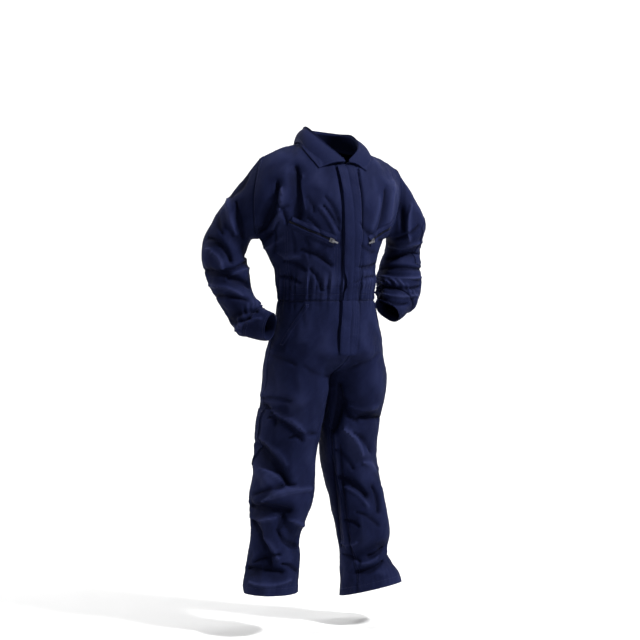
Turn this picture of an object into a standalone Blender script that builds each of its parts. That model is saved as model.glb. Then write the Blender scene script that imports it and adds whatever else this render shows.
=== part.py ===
"""Boiler suit for a child, filled out as if worn, hands on the hips, with no wearer.

Every cloth piece is a wall cut from one shared skin. The skin is made of four kinds of grid:
bodice quarters, trouser quarters, and two sleeves, which meet point for point at their seams.
The suit faces -Y, its wearer's right is at -X, and the origin lies between its two
neck-and-shoulder points, where it is held up.
"""
import math

import bmesh
import bpy
import numpy as np
from mathutils import Matrix
from mathutils.bvhtree import BVHTree

# ---- Driving sizes, metres ------------------------------------------------------------------
WALL = 0.0015            # cloth wall
CUFF_WALL = 0.0022       # the cuffs are doubled
SEAM_PULL = 0.00015      # each piece stops this short of its seam line
TIGHT_THIN = 0.33        # share of the wall that is squeezed out at armpits and crotch
TIGHT_REACH = (0.015, 0.040)
VIEW_TURN = math.radians(27.0)   # the three-quarter direction in which folds are laid out
HALF_COLUMNS = 8         # cells from a centre line to a side seam
BODICE_ROWS = 12         # cells from waist to shoulder
ARMPIT_ROW = 5           # bodice row where side seam ends and armhole starts
NECK_COLUMNS = 4         # bodice columns that end on the neckline, the rest on the shoulder seam
CROTCH_ROW = 6           # trouser row of the crotch point
TROUSER_ROWS = 20        # cells from waist to hem
SLEEVE_ROWS = 16         # cells from armhole to cuff opening
CUFF_ROWS = 2            # the last rows are the cuff band
SLEEVE_HEAD = 0.22       # share of the sleeve between the armhole and the first full ring
WAIST_Z = -0.2965
CROTCH_Z = -0.468
HEM_Z = {-1: -0.862, 1: -0.876}      # wearer's right, left
RIGHT, LEFT = -1, 1
TRIANGLES = ((0, 1, 2), (0, 2, 3))       # how every cell is split
FRONT, BACK = -1, 1

NAVY = (0.016, 0.020, 0.075)
TAPE = (0.008, 0.010, 0.040)
STEEL = (0.62, 0.63, 0.65)

# ---- Form tables ----------------------------------------------------------------------------
# bodice, by row fraction: centre line x, front y, back y
BODICE_CENTRE = (
    (0.00, 0.014, -0.078, 0.070),
    (0.20, 0.014, -0.088, 0.080),
    (0.40, 0.010, -0.097, 0.090),
    (0.70, 0.005, -0.096, 0.092),
    (1.00, 0.000, -0.080, 0.050),
)
# bodice side seam, by height: x right, x left, y
BODICE_SIDE = (
    (WAIST_Z, -0.098, 0.099, 0.004),
    (-0.243, -0.104, 0.098, 0.004),
    (-0.215, -0.117, 0.106, 0.006),
    (-0.179, -0.137, 0.125, 0.010),
)
# hips, by height: centre x, side x right, side x left, side y, front y, back y
HIPS = (
    (WAIST_Z, 0.014, -0.098, 0.099, 0.004, -0.078, 0.070),
    (-0.335, 0.010, -0.104, 0.104, 0.003, -0.084, 0.082),
    (-0.374, 0.004, -0.115, 0.113, 0.003, -0.090, 0.093),
    (-0.430, 0.000, -0.123, 0.120, 0.008, -0.090, 0.098),
    (CROTCH_Z, 0.000, -0.123, 0.126, 0.012, -0.078, 0.090),
)
# legs, by height: centre x, centre y, half width, half depth, turn outwards in degrees
LEGS = {
    RIGHT: (
        (-0.400, -0.0612, 0.008, 0.0607, 0.084, 0),
        (CROTCH_Z, -0.0622, 0.012, 0.0612, 0.078, 0),
        (-0.550, -0.0670, 0.030, 0.0620, 0.068, 0),
        (-0.608, -0.0700, 0.0385, 0.0600, 0.064, 8),
        (-0.686, -0.0830, 0.030, 0.0620, 0.066, 24),
        (-0.764, -0.0976, 0.029, 0.0480, 0.053, 30),
        (-0.803, -0.0993, 0.030, 0.0520, 0.055, 34),
        (-0.852, -0.1094, 0.023, 0.0530, 0.056, 38),
        (-0.876, -0.1100, 0.020, 0.0500, 0.054, 40),
    ),
    LEFT: (
        (-0.400, 0.0640, 0.008, 0.0620, 0.084, 0),
        (CROTCH_Z, 0.0660, 0.012, 0.0635, 0.078, 0),
        (-0.550, 0.0655, 0.030, 0.0575, 0.064, 18),
        (-0.608, 0.0690, 0.0385, 0.0530, 0.060, 24),
        (-0.686, 0.0830, 0.030, 0.0510, 0.058, 26),
        (-0.764, 0.0976, 0.029, 0.0520, 0.055, 28),
        (-0.803, 0.0993, 0.030, 0.0420, 0.050, 30),
        (-0.852, 0.1090, 0.023, 0.0520, 0.060, 33),
        (-0.876, 0.1110, 0.020, 0.0560, 0.064, 35),
    ),
}
HEM_RISE = {RIGHT: 0.04, LEFT: 0.27}     # slope of the hem over the instep
# neck and shoulder points: x, y, z
NECK_FRONT = (0.000, -0.080, -0.037)
NECK_BACK = (0.000, 0.050, 0.008)
NECK_SIDE = {RIGHT: (-0.062, -0.006, 0.003), LEFT: (0.062, -0.008, -0.006)}
SHOULDER_TIP = {RIGHT: (-0.146, -0.010, -0.026), LEFT: (0.149, -0.020, -0.042)}
SHOULDER_ARCH = 0.004    # rise of the shoulder seam between neck and tip
# how far the armhole bows out from the line between shoulder tip and armpit: x, y
ARMHOLE_BOW = {
    (RIGHT, FRONT): (-0.032, -0.037), (RIGHT, BACK): (-0.002, 0.037),
    (LEFT, FRONT): (0.011, -0.025), (LEFT, BACK): (0.011, 0.054),
}
# sleeves, from armhole to cuff opening: across, depth (both in the three-quarter direction),
# height, half size towards the elbow side, half size towards the front
SLEEVES = {
    RIGHT: (
        (-0.140, -0.058, -0.108, 0.072, 0.052),
        (-0.172, -0.048, -0.148, 0.043, 0.053),
        (-0.196, -0.050, -0.199, 0.043, 0.052),
        (-0.187, -0.048, -0.250, 0.041, 0.048),
        (-0.169, -0.050, -0.297, 0.034, 0.042),
        (-0.149, -0.060, -0.329, 0.034, 0.035),
        (-0.129, -0.070, -0.341, 0.031, 0.029),
        (-0.106, -0.080, -0.346, 0.027, 0.026),
    ),
    LEFT: (
        (0.136, 0.055, -0.110, 0.066, 0.046),
        (0.1555, 0.0845, -0.147, 0.042, 0.0525),
        (0.155, 0.108, -0.190, 0.034, 0.046),
        (0.150, 0.108, -0.228, 0.040, 0.046),
        (0.147, 0.095, -0.262, 0.046, 0.046),
        (0.143, 0.078, -0.289, 0.041, 0.042),
        (0.134, 0.063, -0.305, 0.034, 0.034),
        (0.122, 0.052, -0.318, 0.0285, 0.029),
    ),
}
SLEEVE_FRONT = {RIGHT: (-0.454, -0.891, 0.0), LEFT: (-0.30, -0.95, 0.0)}
# largest folds, laid out in the three-quarter direction:
# side facing it (1) or away (-1), start across, start z, end across, end z, half width, height
FOLDS = (
    (1, -0.058, -0.050, -0.056, -0.135, 0.013, -0.006),
    (1, -0.092, -0.080, -0.122, -0.165, 0.012, -0.006),
    (1, -0.076, -0.060, -0.086, -0.150, 0.012, 0.004),
    (1, -0.125, -0.165, -0.105, -0.130, 0.011, -0.005),
    (1, 0.130, -0.080, 0.118, -0.170, 0.013, 0.005),
    (1, -0.150, -0.120, -0.175, -0.175, 0.016, -0.007),
    (1, -0.222, -0.180, -0.184, -0.218, 0.014, -0.006),
    (1, -0.236, -0.242, -0.150, -0.268, 0.013, -0.007),
    (1, -0.205, -0.325, -0.140, -0.310, 0.014, -0.006),
    (1, 0.105, -0.245, 0.185, -0.262, 0.012, -0.006),
    (1, 0.105, -0.287, 0.150, -0.297, 0.010, -0.005),
    (1, -0.125, -0.482, -0.060, -0.486, 0.016, 0.006),
    (1, -0.125, -0.503, -0.080, -0.500, 0.012, -0.006),
    (1, -0.140, -0.573, -0.080, -0.643, 0.014, -0.008),
    (1, -0.150, -0.600, -0.088, -0.672, 0.012, 0.006),
    (1, -0.148, -0.698, -0.074, -0.700, 0.014, -0.008),
    (1, -0.084, -0.706, -0.056, -0.770, 0.013, -0.007),
    (1, -0.142, -0.726, -0.110, -0.800, 0.013, -0.007),
    (1, -0.150, -0.817, -0.086, -0.817, 0.013, -0.007),
    (1, 0.023, -0.463, 0.014, -0.550, 0.012, -0.008),
    (1, 0.032, -0.497, 0.105, -0.534, 0.013, -0.007),
    (1, 0.037, -0.550, 0.072, -0.600, 0.013, 0.006),
    (1, 0.028, -0.648, 0.076, -0.682, 0.013, -0.006),
    (1, 0.090, -0.668, 0.102, -0.716, 0.012, -0.006),
    (1, 0.112, -0.790, 0.066, -0.804, 0.013, -0.007),
    (1, 0.112, -0.818, 0.066, -0.836, 0.012, -0.006),
    (-1, -0.090, -0.100, -0.060, -0.220, 0.015, -0.006),
    (-1, 0.080, -0.090, 0.050, -0.210, 0.015, -0.006),
    (-1, -0.050, -0.440, -0.100, -0.480, 0.015, -0.007),
    (-1, 0.050, -0.450, 0.100, -0.500, 0.015, -0.007),
    (-1, -0.120, -0.620, -0.060, -0.650, 0.015, -0.008),
    (-1, 0.100, -0.630, 0.040, -0.655, 0.015, -0.008),
    (-1, -0.130, -0.790, -0.080, -0.800, 0.014, -0.007),
    (-1, 0.110, -0.800, 0.060, -0.795, 0.014, -0.007),
)
ARMHOLE_CALM = 0.030     # folds fade out within this distance of an armhole seam
# what lies on a panel: girth from the zero line and height, as corners of a convex outline
PLACKET_OUTLINE = ((-0.020, -0.0415), (0.018, -0.0415), (0.018, -0.392), (0.012, -0.400),
                   (-0.014, -0.400), (-0.020, -0.392))
FRONT_ZIP_OUTLINE = ((-0.006, -0.0435), (0.006, -0.0435), (0.006, -0.385), (-0.006, -0.385))
CHEST_ZIP_INNER = (0.040, -0.184)       # girth from the centre, height
CHEST_ZIP_OUTER = (0.134, -0.146)
CHEST_ZIP_HALF = 0.0045
CHEST_LIP = 0.0055
ZIP_WALL = 0.0010
HIP_POCKET_TOP = (0.088, -0.304)
HIP_POCKET_FOOT = (0.138, -0.380)
HIP_POCKET_EDGE = 0.009
RULE_POCKET_OUTLINE = ((0.004, -0.508), (0.058, -0.508), (0.058, -0.612), (0.050, -0.620),
                       (0.012, -0.620), (0.004, -0.612))
SLEEVE_POCKET_OUTLINE = ((-0.044, 0.062), (0.014, 0.062), (0.014, 0.150), (0.004, 0.160),
                         (-0.034, 0.160), (-0.044, 0.150))
LAY_LIFT = 0.0004        # air under a piece that lies on a panel
LAY_WALL = 0.0012
FRONT_ZIP_WALL = 0.0008
PLACKET_LIFT = 0.0016    # the placket lies over the front zip
PLACKET_WALL = 0.0014
RULE_POCKET_WALL = 0.0016        # its edge is folded under
COLLAR_WALL = 0.0014
COLLAR_CLEAR = 0.0024    # the fall's outer face stands this far off the shoulders
COLLAR_CROWN = 0.005
FOLD_HALF = 0.0025       # half the gap between stand and fall at the fold line
FOLD_DROP = 0.004
STAND_INSET = 0.0016     # the stand's foot lies inside the neckline
STAND_RISE = 0.0005
FALL_SHARES = (0.3, 0.65, 1.0)   # rows of the fall, from the fold line to its edge
COLLAR_AXIS = (0.0, -0.02, 0.0)  # middle of the neck
# collar, from the right front end (-1) by the back (0) to the left front end (1):
# fold line x, y, z, then edge of the fall x, y, z
COLLAR = (
    (-1.00, -0.003, -0.084, -0.028, -0.058, -0.080, -0.048),
    (-0.85, -0.025, -0.070, -0.006, -0.069, -0.062, -0.026),
    (-0.50, -0.047, -0.012, 0.037, -0.068, -0.014, 0.007),
    (-0.25, -0.036, 0.024, 0.036, -0.048, 0.046, 0.004),
    (0.00, 0.002, 0.038, 0.034, 0.000, 0.074, 0.000),
    (0.25, 0.039, 0.022, 0.029, 0.048, 0.044, -0.002),
    (0.50, 0.051, -0.012, 0.024, 0.065, -0.014, -0.003),
    (0.85, 0.030, -0.071, -0.010, 0.066, -0.066, -0.030),
    (1.00, 0.006, -0.083, -0.029, 0.044, -0.080, -0.050),
)
# chest zip sliders and their pull tabs
SEAT_GAP = 0.0003
SLIDER_SHARE = 0.06      # place along the zip, from its inner end
SLIDER_PLATE = (0.0095, 0.0080, 0.0016)
CHEEK = 0.0008           # cheeks that hold the pin, each this thick
CHEEK_CAP = 0.0003       # cheek beyond the pin
PIN_RADIUS = 0.0005
PULL_EYE = 0.0015
PULL_LENGTH = 0.0125
PULL_WIDTH = 0.0032
PULL_THICKNESS = 0.0010
PULL_TILT = 12.0         # the tab slopes down towards the cloth


# ---- Numbers --------------------------------------------------------------------------------
def smooth(x, low, high):
    """Smooth step from 0 at low to 1 at high."""
    t = np.clip((x - low) / (high - low), 0.0, 1.0)
    return t * t * (3.0 - 2.0 * t)


def read_table(rows, x):
    """Cubic curve through a table's rows: first column is the place, the rest are values."""
    table = np.array(sorted(rows), float)
    knots, values = table[:, 0], table[:, 1:]
    slopes = np.gradient(values, knots, axis=0)
    x = np.clip(np.asarray(x, float), knots[0], knots[-1])
    i = np.clip(np.searchsorted(knots, x) - 1, 0, len(knots) - 2)
    h = (knots[i + 1] - knots[i])[..., None]
    t = ((x - knots[i])[..., None]) / h
    a, b = values[i], values[i + 1]
    p = slopes[i] * h
    q = slopes[i + 1] * h
    return (a * (2 * t**3 - 3 * t**2 + 1) + p * (t**3 - 2 * t**2 + t)
            + b * (3 * t**2 - 2 * t**3) + q * (t**3 - t**2))


def from_view(across, depth, z):
    """Point given in the three-quarter direction, as x, y, z."""
    x = across * math.cos(VIEW_TURN) + depth * math.sin(VIEW_TURN)
    y = -across * math.sin(VIEW_TURN) + depth * math.cos(VIEW_TURN)
    return np.stack(np.broadcast_arrays(x, y, z), -1)


def across_view(points):
    """Distance to the right in the three-quarter direction."""
    return points[..., 0] * math.cos(VIEW_TURN) - points[..., 1] * math.sin(VIEW_TURN)


def unit(v):
    return v / np.maximum(np.linalg.norm(v, axis=-1, keepdims=True), 1e-12)


# ---- Skin -----------------------------------------------------------------------------------
def top_line(side, face, s):
    """Neckline, then shoulder seam, for s from the centre (0) to the shoulder tip (1)."""
    neck_share = NECK_COLUMNS / HALF_COLUMNS
    centre = np.array(NECK_FRONT if face == FRONT else NECK_BACK)
    corner = np.array(NECK_SIDE[side])
    tip = np.array(SHOULDER_TIP[side])
    q = np.clip(s / neck_share, 0, 1) * math.pi / 2
    neck = np.stack([corner[0] * np.sin(q),
                     corner[1] + (centre[1] - corner[1]) * np.cos(q),
                     corner[2] + (centre[2] - corner[2]) * (1 - np.sin(q) ** 1.6)], -1)
    r = np.clip((s - neck_share) / (1 - neck_share), 0, 1)[..., None]
    seam = corner + (tip - corner) * r
    seam[..., 2] += SHOULDER_ARCH * np.sin(math.pi * r[..., 0])
    return np.where((s <= neck_share)[..., None], neck, seam)


def armhole(side, face, t):
    """Side seam up to the armpit, then one half of the armhole up to the shoulder tip."""
    share = ARMPIT_ROW / BODICE_ROWS
    z_low = WAIST_Z + (BODICE_SIDE[-1][0] - WAIST_Z) * np.clip(t / share, 0, 1)
    low = read_table(BODICE_SIDE, z_low)
    x_low = low[..., 0 if side == RIGHT else 1]
    seam = np.stack([x_low, low[..., 2], z_low], -1)
    last = BODICE_SIDE[-1]
    pit = np.array((last[1 if side == RIGHT else 2], last[3], last[0]))
    tip = np.array(SHOULDER_TIP[side])
    angle = math.pi * np.clip((t - share) / (1 - share), 0, 1)[..., None]
    bow = np.array(ARMHOLE_BOW[side, face] + (0.0,))
    loop = (pit + tip) / 2 + (tip - pit) / 2 * -np.cos(angle) + bow * np.sin(angle)
    return np.where((t <= share)[..., None], seam, loop)


def bodice(side, face, s, t):
    """Quarter of the bodice: s from centre to side, t from waist to shoulder.

    Each row is a quarter ellipse from the centre line to the side seam or armhole, and the
    upper rows round over towards the neckline and the shoulder seam.
    """
    s, t = np.broadcast_arrays(s, t)
    turn_row = 0.55
    rate = (math.pi / 2) / (1 - turn_row)
    low_share = rate / (1 / turn_row + rate)
    over = np.clip((t - turn_row) / (1 - turn_row), 0, 1) * math.pi / 2
    rise = np.where(t < turn_row, t * low_share / turn_row,
                    low_share + (1 - low_share) * np.sin(over))
    edge = armhole(side, face, t)
    top = top_line(side, face, s)
    tip_z = SHOULDER_TIP[side][2]
    edge_rise = (edge[..., 2] - WAIST_Z) / (tip_z - WAIST_Z)
    z = WAIST_Z + (top[..., 2] - WAIST_Z) * (rise + (edge_rise - rise) * s**2)
    centre = read_table(BODICE_CENTRE, t)
    depth = centre[..., 1 if face == FRONT else 2]
    x = centre[..., 0] + (edge[..., 0] - centre[..., 0]) * np.sin(s * math.pi / 2)
    y = edge[..., 1] + (depth - edge[..., 1]) * np.cos(s * math.pi / 2)
    pull = 1 - np.cos(over)
    x = x + (top[..., 0] - x) * pull
    y = y + (top[..., 1] - y) * pull
    return np.stack([x, y, z], -1)


def trouser(side, face, s, t):
    """Quarter of the trousers: s from centre seam or inseam to side seam, t from waist to hem.

    A row is a quarter ellipse at the hips and half a leg's ellipse below the crotch, and the
    two are blended above the crotch, which curves the centre seam under.
    """
    s, t = np.broadcast_arrays(s, t)
    share = CROTCH_ROW / TROUSER_ROWS
    z = np.where(t < share, WAIST_Z + (CROTCH_Z - WAIST_Z) * t / share,
                 CROTCH_Z + (HEM_Z[side] - CROTCH_Z) * (t - share) / (1 - share))
    hip = read_table(HIPS, z)
    side_x = hip[..., 1 if side == RIGHT else 2]
    depth = hip[..., 4 if face == FRONT else 5]
    hip_x = hip[..., 0] + (side_x - hip[..., 0]) * np.sin(s * math.pi / 2)
    hip_y = hip[..., 3] + (depth - hip[..., 3]) * np.cos(s * math.pi / 2)
    leg = read_table(LEGS[side], z)
    turn = np.radians(leg[..., 4]) * side
    angle = s * math.pi
    out_x = -side * leg[..., 2] * np.cos(angle)
    out_y = face * leg[..., 3] * np.sin(angle)
    leg_x = leg[..., 0] + out_x * np.cos(turn) - out_y * np.sin(turn)
    leg_y = leg[..., 1] + out_x * np.sin(turn) + out_y * np.cos(turn)
    inner_x = leg[..., 0] - side * leg[..., 2]
    above = (t <= share + 1e-9)
    leg_x = leg_x + np.where(above, (hip[..., 0] - inner_x) * (1 - s) ** 3, 0)
    blend = smooth(z, -0.395 + 0.02 * s, CROTCH_Z)
    x = hip_x + (leg_x - hip_x) * blend
    y = hip_y + (leg_y - hip_y) * blend
    toe = np.stack([np.sin(turn), -np.cos(turn)], -1)
    forward = (x - leg[..., 0]) * toe[..., 0] + (y - leg[..., 1]) * toe[..., 1]
    z = z + forward * HEM_RISE[side] * smooth(z, -0.79, HEM_Z[side])
    return np.stack([x, y, z], -1)


def sleeve(side, around, along):
    """Sleeve tube: around in turns from the underarm by the front, along from 0 to 1.

    Rings are ellipses across a curved path. The head of the sleeve runs from the armhole
    to the first full ring, point by point, and leaves it along the path.
    """
    around, along = np.broadcast_arrays(around, along)
    rows = SLEEVES[side]
    centres = from_view(*[np.array([row[i] for row in rows]) for i in range(3)])
    steps = np.linalg.norm(np.diff(centres, axis=0), axis=1)
    places = np.concatenate([[0], np.cumsum(steps)]) / steps.sum()
    table = [(p, *c, row[3], row[4]) for p, c, row in zip(places, centres, rows)]
    beyond = np.maximum(along, SLEEVE_HEAD)
    value = read_table(table, beyond)
    ahead = read_table(table, beyond + 0.01)[..., :3]
    behind = read_table(table, beyond - 0.01)[..., :3]
    path = unit(ahead - behind)
    front = np.array(SLEEVE_FRONT[side])
    front = unit(front - path * (path @ front)[..., None])
    outer = np.cross(path, front) * -side
    angle = 2 * math.pi * around[..., None]
    ring = (value[..., :3] - outer * value[..., 3:4] * np.cos(angle)
            + front * value[..., 4:5] * np.sin(angle))
    share = ARMPIT_ROW / BODICE_ROWS
    up_front = share + (1 - share) * np.clip(around * 2, 0, 1)
    up_back = share + (1 - share) * np.clip(2 - around * 2, 0, 1)
    first = np.where((around <= 0.5)[..., None],
                     bodice(side, FRONT, np.ones_like(around), up_front),
                     bodice(side, BACK, np.ones_like(around), up_back))
    k = np.clip(along / SLEEVE_HEAD, 0, 1)[..., None]
    reach = np.linalg.norm(ring - first, axis=-1, keepdims=True)
    head = (first + (ring - first) * (k + k**2 - k**3) + path * reach * (k**3 - k**2))
    return np.where(k < 1, head, ring)


def fold_height(points, normals):
    """Sum of the folds: each is a soft ridge or trough along a line, tapering at its ends."""
    across = across_view(points)
    z = points[..., 2]
    facing = -(normals[..., 0] * math.sin(VIEW_TURN) + normals[..., 1] * math.cos(VIEW_TURN))
    height = np.zeros(across.shape)
    for face, a0, z0, a1, z1, width, rise in FOLDS:
        run = np.array([a1 - a0, z1 - z0])
        length = np.hypot(*run)
        share = ((across - a0) * run[0] + (z - z0) * run[1]) / length**2
        near = np.clip(share, 0, 1)
        away = np.hypot(across - a0 - near * run[0], z - z0 - near * run[1])
        shown = smooth(facing * face, 0.0, 0.35)
        height += rise * np.exp(-(away / width) ** 2) * shown
    return height


# ---- Net: grids that share their seam points ------------------------------------------------
def build_net():
    """Sample every grid, weld shared points, press the folds in, and find shared normals."""
    s = np.linspace(0, 1, HALF_COLUMNS + 1)[None, :]
    grids = {}
    for side in (RIGHT, LEFT):
        for face in (FRONT, BACK):
            t = np.linspace(0, 1, BODICE_ROWS + 1)[:, None]
            grids["bodice", side, face] = bodice(side, face, s, t)
            t = np.linspace(0, 1, TROUSER_ROWS + 1)[:, None]
            grids["trouser", side, face] = trouser(side, face, s, t)
        around = np.linspace(0, 1, 2 * (BODICE_ROWS - ARMPIT_ROW) + 1)[None, :]
        along = np.linspace(0, 1, SLEEVE_ROWS + 1)[:, None]
        grids["sleeve", side, 0] = sleeve(side, around, along)
    points = np.concatenate([g.reshape(-1, 3) for g in grids.values()])
    keys, index = np.unique(np.round(points, 6), axis=0, return_inverse=True)
    index = index.reshape(-1)
    numbers, cells, flips, start = {}, {}, {}, 0
    for name, grid in grids.items():
        count = grid.shape[0] * grid.shape[1]
        number = index[start:start + count].reshape(grid.shape[:2])
        start += count
        quads = cell_corners(number)
        centre = grid.reshape(-1, 3).mean(0)
        if name[0] != "sleeve":
            centre = np.array([centre[0] * 0.3, 0.0, centre[2]])
        normal = np.cross(keys[quads[..., 2]] - keys[quads[..., 0]],
                          keys[quads[..., 3]] - keys[quads[..., 1]])
        middle = keys[quads].mean(2)
        if name[0] == "sleeve":
            ring = grid[:, :-1].mean(1)
            centre = ((ring[:-1] + ring[1:]) / 2)[:, None, :]
        flips[name] = (normal * (middle - centre)).sum() < 0
        if flips[name]:
            quads = quads[..., ::-1]
        numbers[name], cells[name] = number, quads
    faces = np.concatenate([q.reshape(-1, 4) for q in cells.values()])
    normals = vertex_normals(keys, faces)
    seams = keys[np.unique([numbers["sleeve", side, 0][0] for side in (RIGHT, LEFT)])]
    away = np.linalg.norm(keys[:, None] - seams[None], axis=2).min(1)
    height = fold_height(keys, normals) * smooth(away, 0.0, ARMHOLE_CALM)
    keys = keys + normals * height[:, None]
    return keys, vertex_normals(keys, faces), numbers, cells, flips


def vertex_normals(points, quads):
    """Area-weighted normals at the points of a quad mesh."""
    normal = np.cross(points[quads[:, 2]] - points[quads[:, 0]],
                      points[quads[:, 3]] - points[quads[:, 1]])
    total = np.zeros_like(points)
    for corner in range(4):
        np.add.at(total, quads[:, corner], normal)
    return unit(total)


# ---- Solids ---------------------------------------------------------------------------------
def material(name, colour, roughness, metallic=0.0):
    made = bpy.data.materials.new(name)
    made.use_nodes = True
    shader = made.node_tree.nodes["Principled BSDF"]
    shader.inputs["Base Color"].default_value = (*colour, 1.0)
    shader.inputs["Roughness"].default_value = roughness
    shader.inputs["Metallic"].default_value = metallic
    made.diffuse_color = (*colour, 1.0)
    return made


def add_object(name, points, faces, colour=NAVY, roughness=0.85, metallic=0.0):
    mesh = bpy.data.meshes.new(name)
    mesh.from_pydata([tuple(p) for p in points], [], [tuple(f) for f in faces])
    mesh.update()
    made = bpy.data.objects.new(name, mesh)
    mesh.materials.append(material(name + "_finish", colour, roughness, metallic))
    suit.objects.link(made)
    return made


def border_edges(faces):
    """Directed edges that only one face uses."""
    used = {}
    for face in faces:
        for a, b in zip(face, face[1:] + face[:1]):
            used[a, b] = True
    return [(a, b) for (a, b) in used if (b, a) not in used]


def wall(name, outer, inner, faces, ranks=None, **finish):
    """Closed solid between an outer and an inner copy of an open surface.

    Its edge faces are split by the ranks of their points, so that two pieces that face each
    other across a seam are split alike.
    """
    count = len(outer)
    ranks = range(count) if ranks is None else ranks
    solid = [list(f) for f in faces]
    solid += [[i + count for i in reversed(f)] for f in faces]
    for a, b in border_edges(faces):
        if ranks[a] < ranks[b]:
            solid += [[b, a, b + count], [a, a + count, b + count]]
        else:
            solid += [[b, a, a + count], [b, a + count, b + count]]
    return add_object(name, np.concatenate([outer, inner]), solid, **finish)


def panel(name, quads, thickness=WALL, **finish):
    """Cloth piece: its cells of the net, drawn in from its seams, with a wall inwards."""
    quads = quads.reshape(-1, 4)
    used, local = np.unique(quads, return_inverse=True)
    local = local.reshape(-1, 4)
    spots = net_points[used].copy()
    normals = net_normals[used]
    shift = {}
    for a, b in border_edges([tuple(f) for f in local.tolist()]):
        inward = unit(np.cross((normals[a] + normals[b]) / 2, spots[b] - spots[a]))
        shift.setdefault(a, []).append(inward)
        shift.setdefault(b, []).append(inward)
    moved = spots.copy()
    for vertex, ways in shift.items():
        first, last = ways[0], ways[-1]
        moved[vertex] += SEAM_PULL * (first + last) / max(1 + float(first @ last), 0.6)
    triangles = np.concatenate([local[:, three] for three in TRIANGLES]).tolist()
    tight = net_points[net_tight]
    away = np.linalg.norm(spots[:, None] - tight[None], axis=2).min(1)
    depth = thickness * (1 - TIGHT_THIN * (1 - smooth(away, *TIGHT_REACH)))
    return wall(name, moved, moved - normals * depth[:, None],
                [tuple(f) for f in triangles], ranks=used, **finish)


def flat_map(grid_names, zero="centre"):
    """Cells of some grids with their flat places: girth from a zero line, and height.

    Each entry is a grid's name and the sign of its girth. The zero line is the column s = 0
    ("centre") or s = 1 ("side"), or the outer line of a sleeve ("outer"), where the height is
    the length from the armhole instead.
    """
    cells, places = [], []
    for name, sign in grid_names:
        spots = net_points[net_numbers[name]]
        steps = np.linalg.norm(np.diff(spots, axis=1), axis=2)
        girth = np.concatenate([np.zeros((len(spots), 1)), np.cumsum(steps, 1)], 1)
        height = spots[..., 2]
        if zero == "side":
            girth = girth[:, -1:] - girth
        if zero == "outer":
            middle = spots.shape[1] // 2
            girth = girth - girth[:, middle:middle + 1]
            rings = spots[:, :-1].mean(1)
            travel = np.linalg.norm(np.diff(rings, axis=0), axis=1)
            height = np.broadcast_to(np.concatenate([[0], np.cumsum(travel)])[:, None],
                                     girth.shape)
        flat = np.stack([girth * sign, height], -1)
        corners = cell_corners(flat)
        if net_flips[name]:
            corners = corners[..., ::-1, :]
        cells.append(net_cells[name].reshape(-1, 4))
        places.append(corners.reshape(-1, 4, 2))
    return np.concatenate(cells), np.concatenate(places)


def cell_corners(grid):
    """The four corners of every cell of a grid, in order round the cell."""
    return np.stack([grid[:-1, :-1], grid[:-1, 1:], grid[1:, 1:], grid[1:, :-1]], 2)


def lay_on(name, flat, outline, lift=LAY_LIFT, thickness=LAY_WALL, **finish):
    """Piece that lies on panels: their faces cut to a convex outline, and moved out."""
    bm = bmesh.new()
    layer_place = bm.verts.layers.float_vector.new("place")
    layer_normal = bm.verts.layers.float_vector.new("normal")
    centre = np.mean(outline, axis=0)
    reach = max(np.hypot(*(np.array(p) - centre)) for p in outline) + 0.03
    for quad, places in zip(*flat):
        if np.hypot(*(places.mean(0) - centre)) > reach:
            continue
        corners = []
        for i, place in zip(quad.tolist(), places):
            vert = bm.verts.new((*place, 0.0))
            vert[layer_place] = net_points[i]
            vert[layer_normal] = net_normals[i]
            corners.append(vert)
        for three in TRIANGLES:
            bm.faces.new([corners[k] for k in three])
    bmesh.ops.remove_doubles(bm, verts=bm.verts, dist=1e-6)
    outline = [np.array(p) for p in outline]
    for here, there in zip(outline, outline[1:] + outline[:1]):
        way = there - here
        out = np.array([way[1], -way[0]])
        if out @ (centre - here) > 0:
            out = -out
        bmesh.ops.bisect_plane(bm, geom=bm.verts[:] + bm.edges[:] + bm.faces[:], dist=1e-6,
                               plane_co=(*here, 0.0), plane_no=(*out, 0.0), clear_outer=True)
    bm.verts.index_update()
    place = np.array([v[layer_place] for v in bm.verts])
    normal = unit(np.array([v[layer_normal] for v in bm.verts]))
    faces = [tuple(v.index for v in f.verts) for f in bm.faces]
    bm.free()
    return wall(name, place + normal * (lift + thickness), place + normal * lift, faces,
                **finish)


def strip(inner, outer, half_width, sign, offset):
    """Corners of a band along the line between two flat places, moved sideways by offset."""
    a = np.array(inner)
    b = np.array(outer)
    way = unit(b - a)
    beside = np.array([-way[1], way[0]])
    a = a + beside * offset
    b = b + beside * offset
    corners = (a - beside * half_width, b - beside * half_width,
               b + beside * half_width, a + beside * half_width)
    return tuple((sign * float(g), float(h)) for g, h in corners)


def spot(flat, girth, height):
    """Point and normal of the skin at a flat place."""
    for quad, places in zip(*flat):
        for three in TRIANGLES:
            corner = [quad[k] for k in three]
            a, b, c = (places[k] for k in three)
            area = np.array([b - a, c - a]).T
            if abs(np.linalg.det(area)) < 1e-12:
                continue
            u, v = np.linalg.solve(area, np.array((girth, height)) - a)
            if min(u, v, 1 - u - v) >= -1e-6:
                share = np.array((1 - u - v, u, v))
                return share @ net_points[corner], unit(share @ net_normals[corner])
    raise ValueError("no cloth at this place")


def block(name, size, centre, frame, group):
    """Box of a size, centred in a local frame."""
    bpy.ops.mesh.primitive_cube_add(size=1.0)
    made = bpy.context.object
    made.name = name
    for vertex in made.data.vertices:
        vertex.co = [co * length + middle
                     for co, length, middle in zip(vertex.co, size, centre)]
    return settle(made, frame, group)


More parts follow.
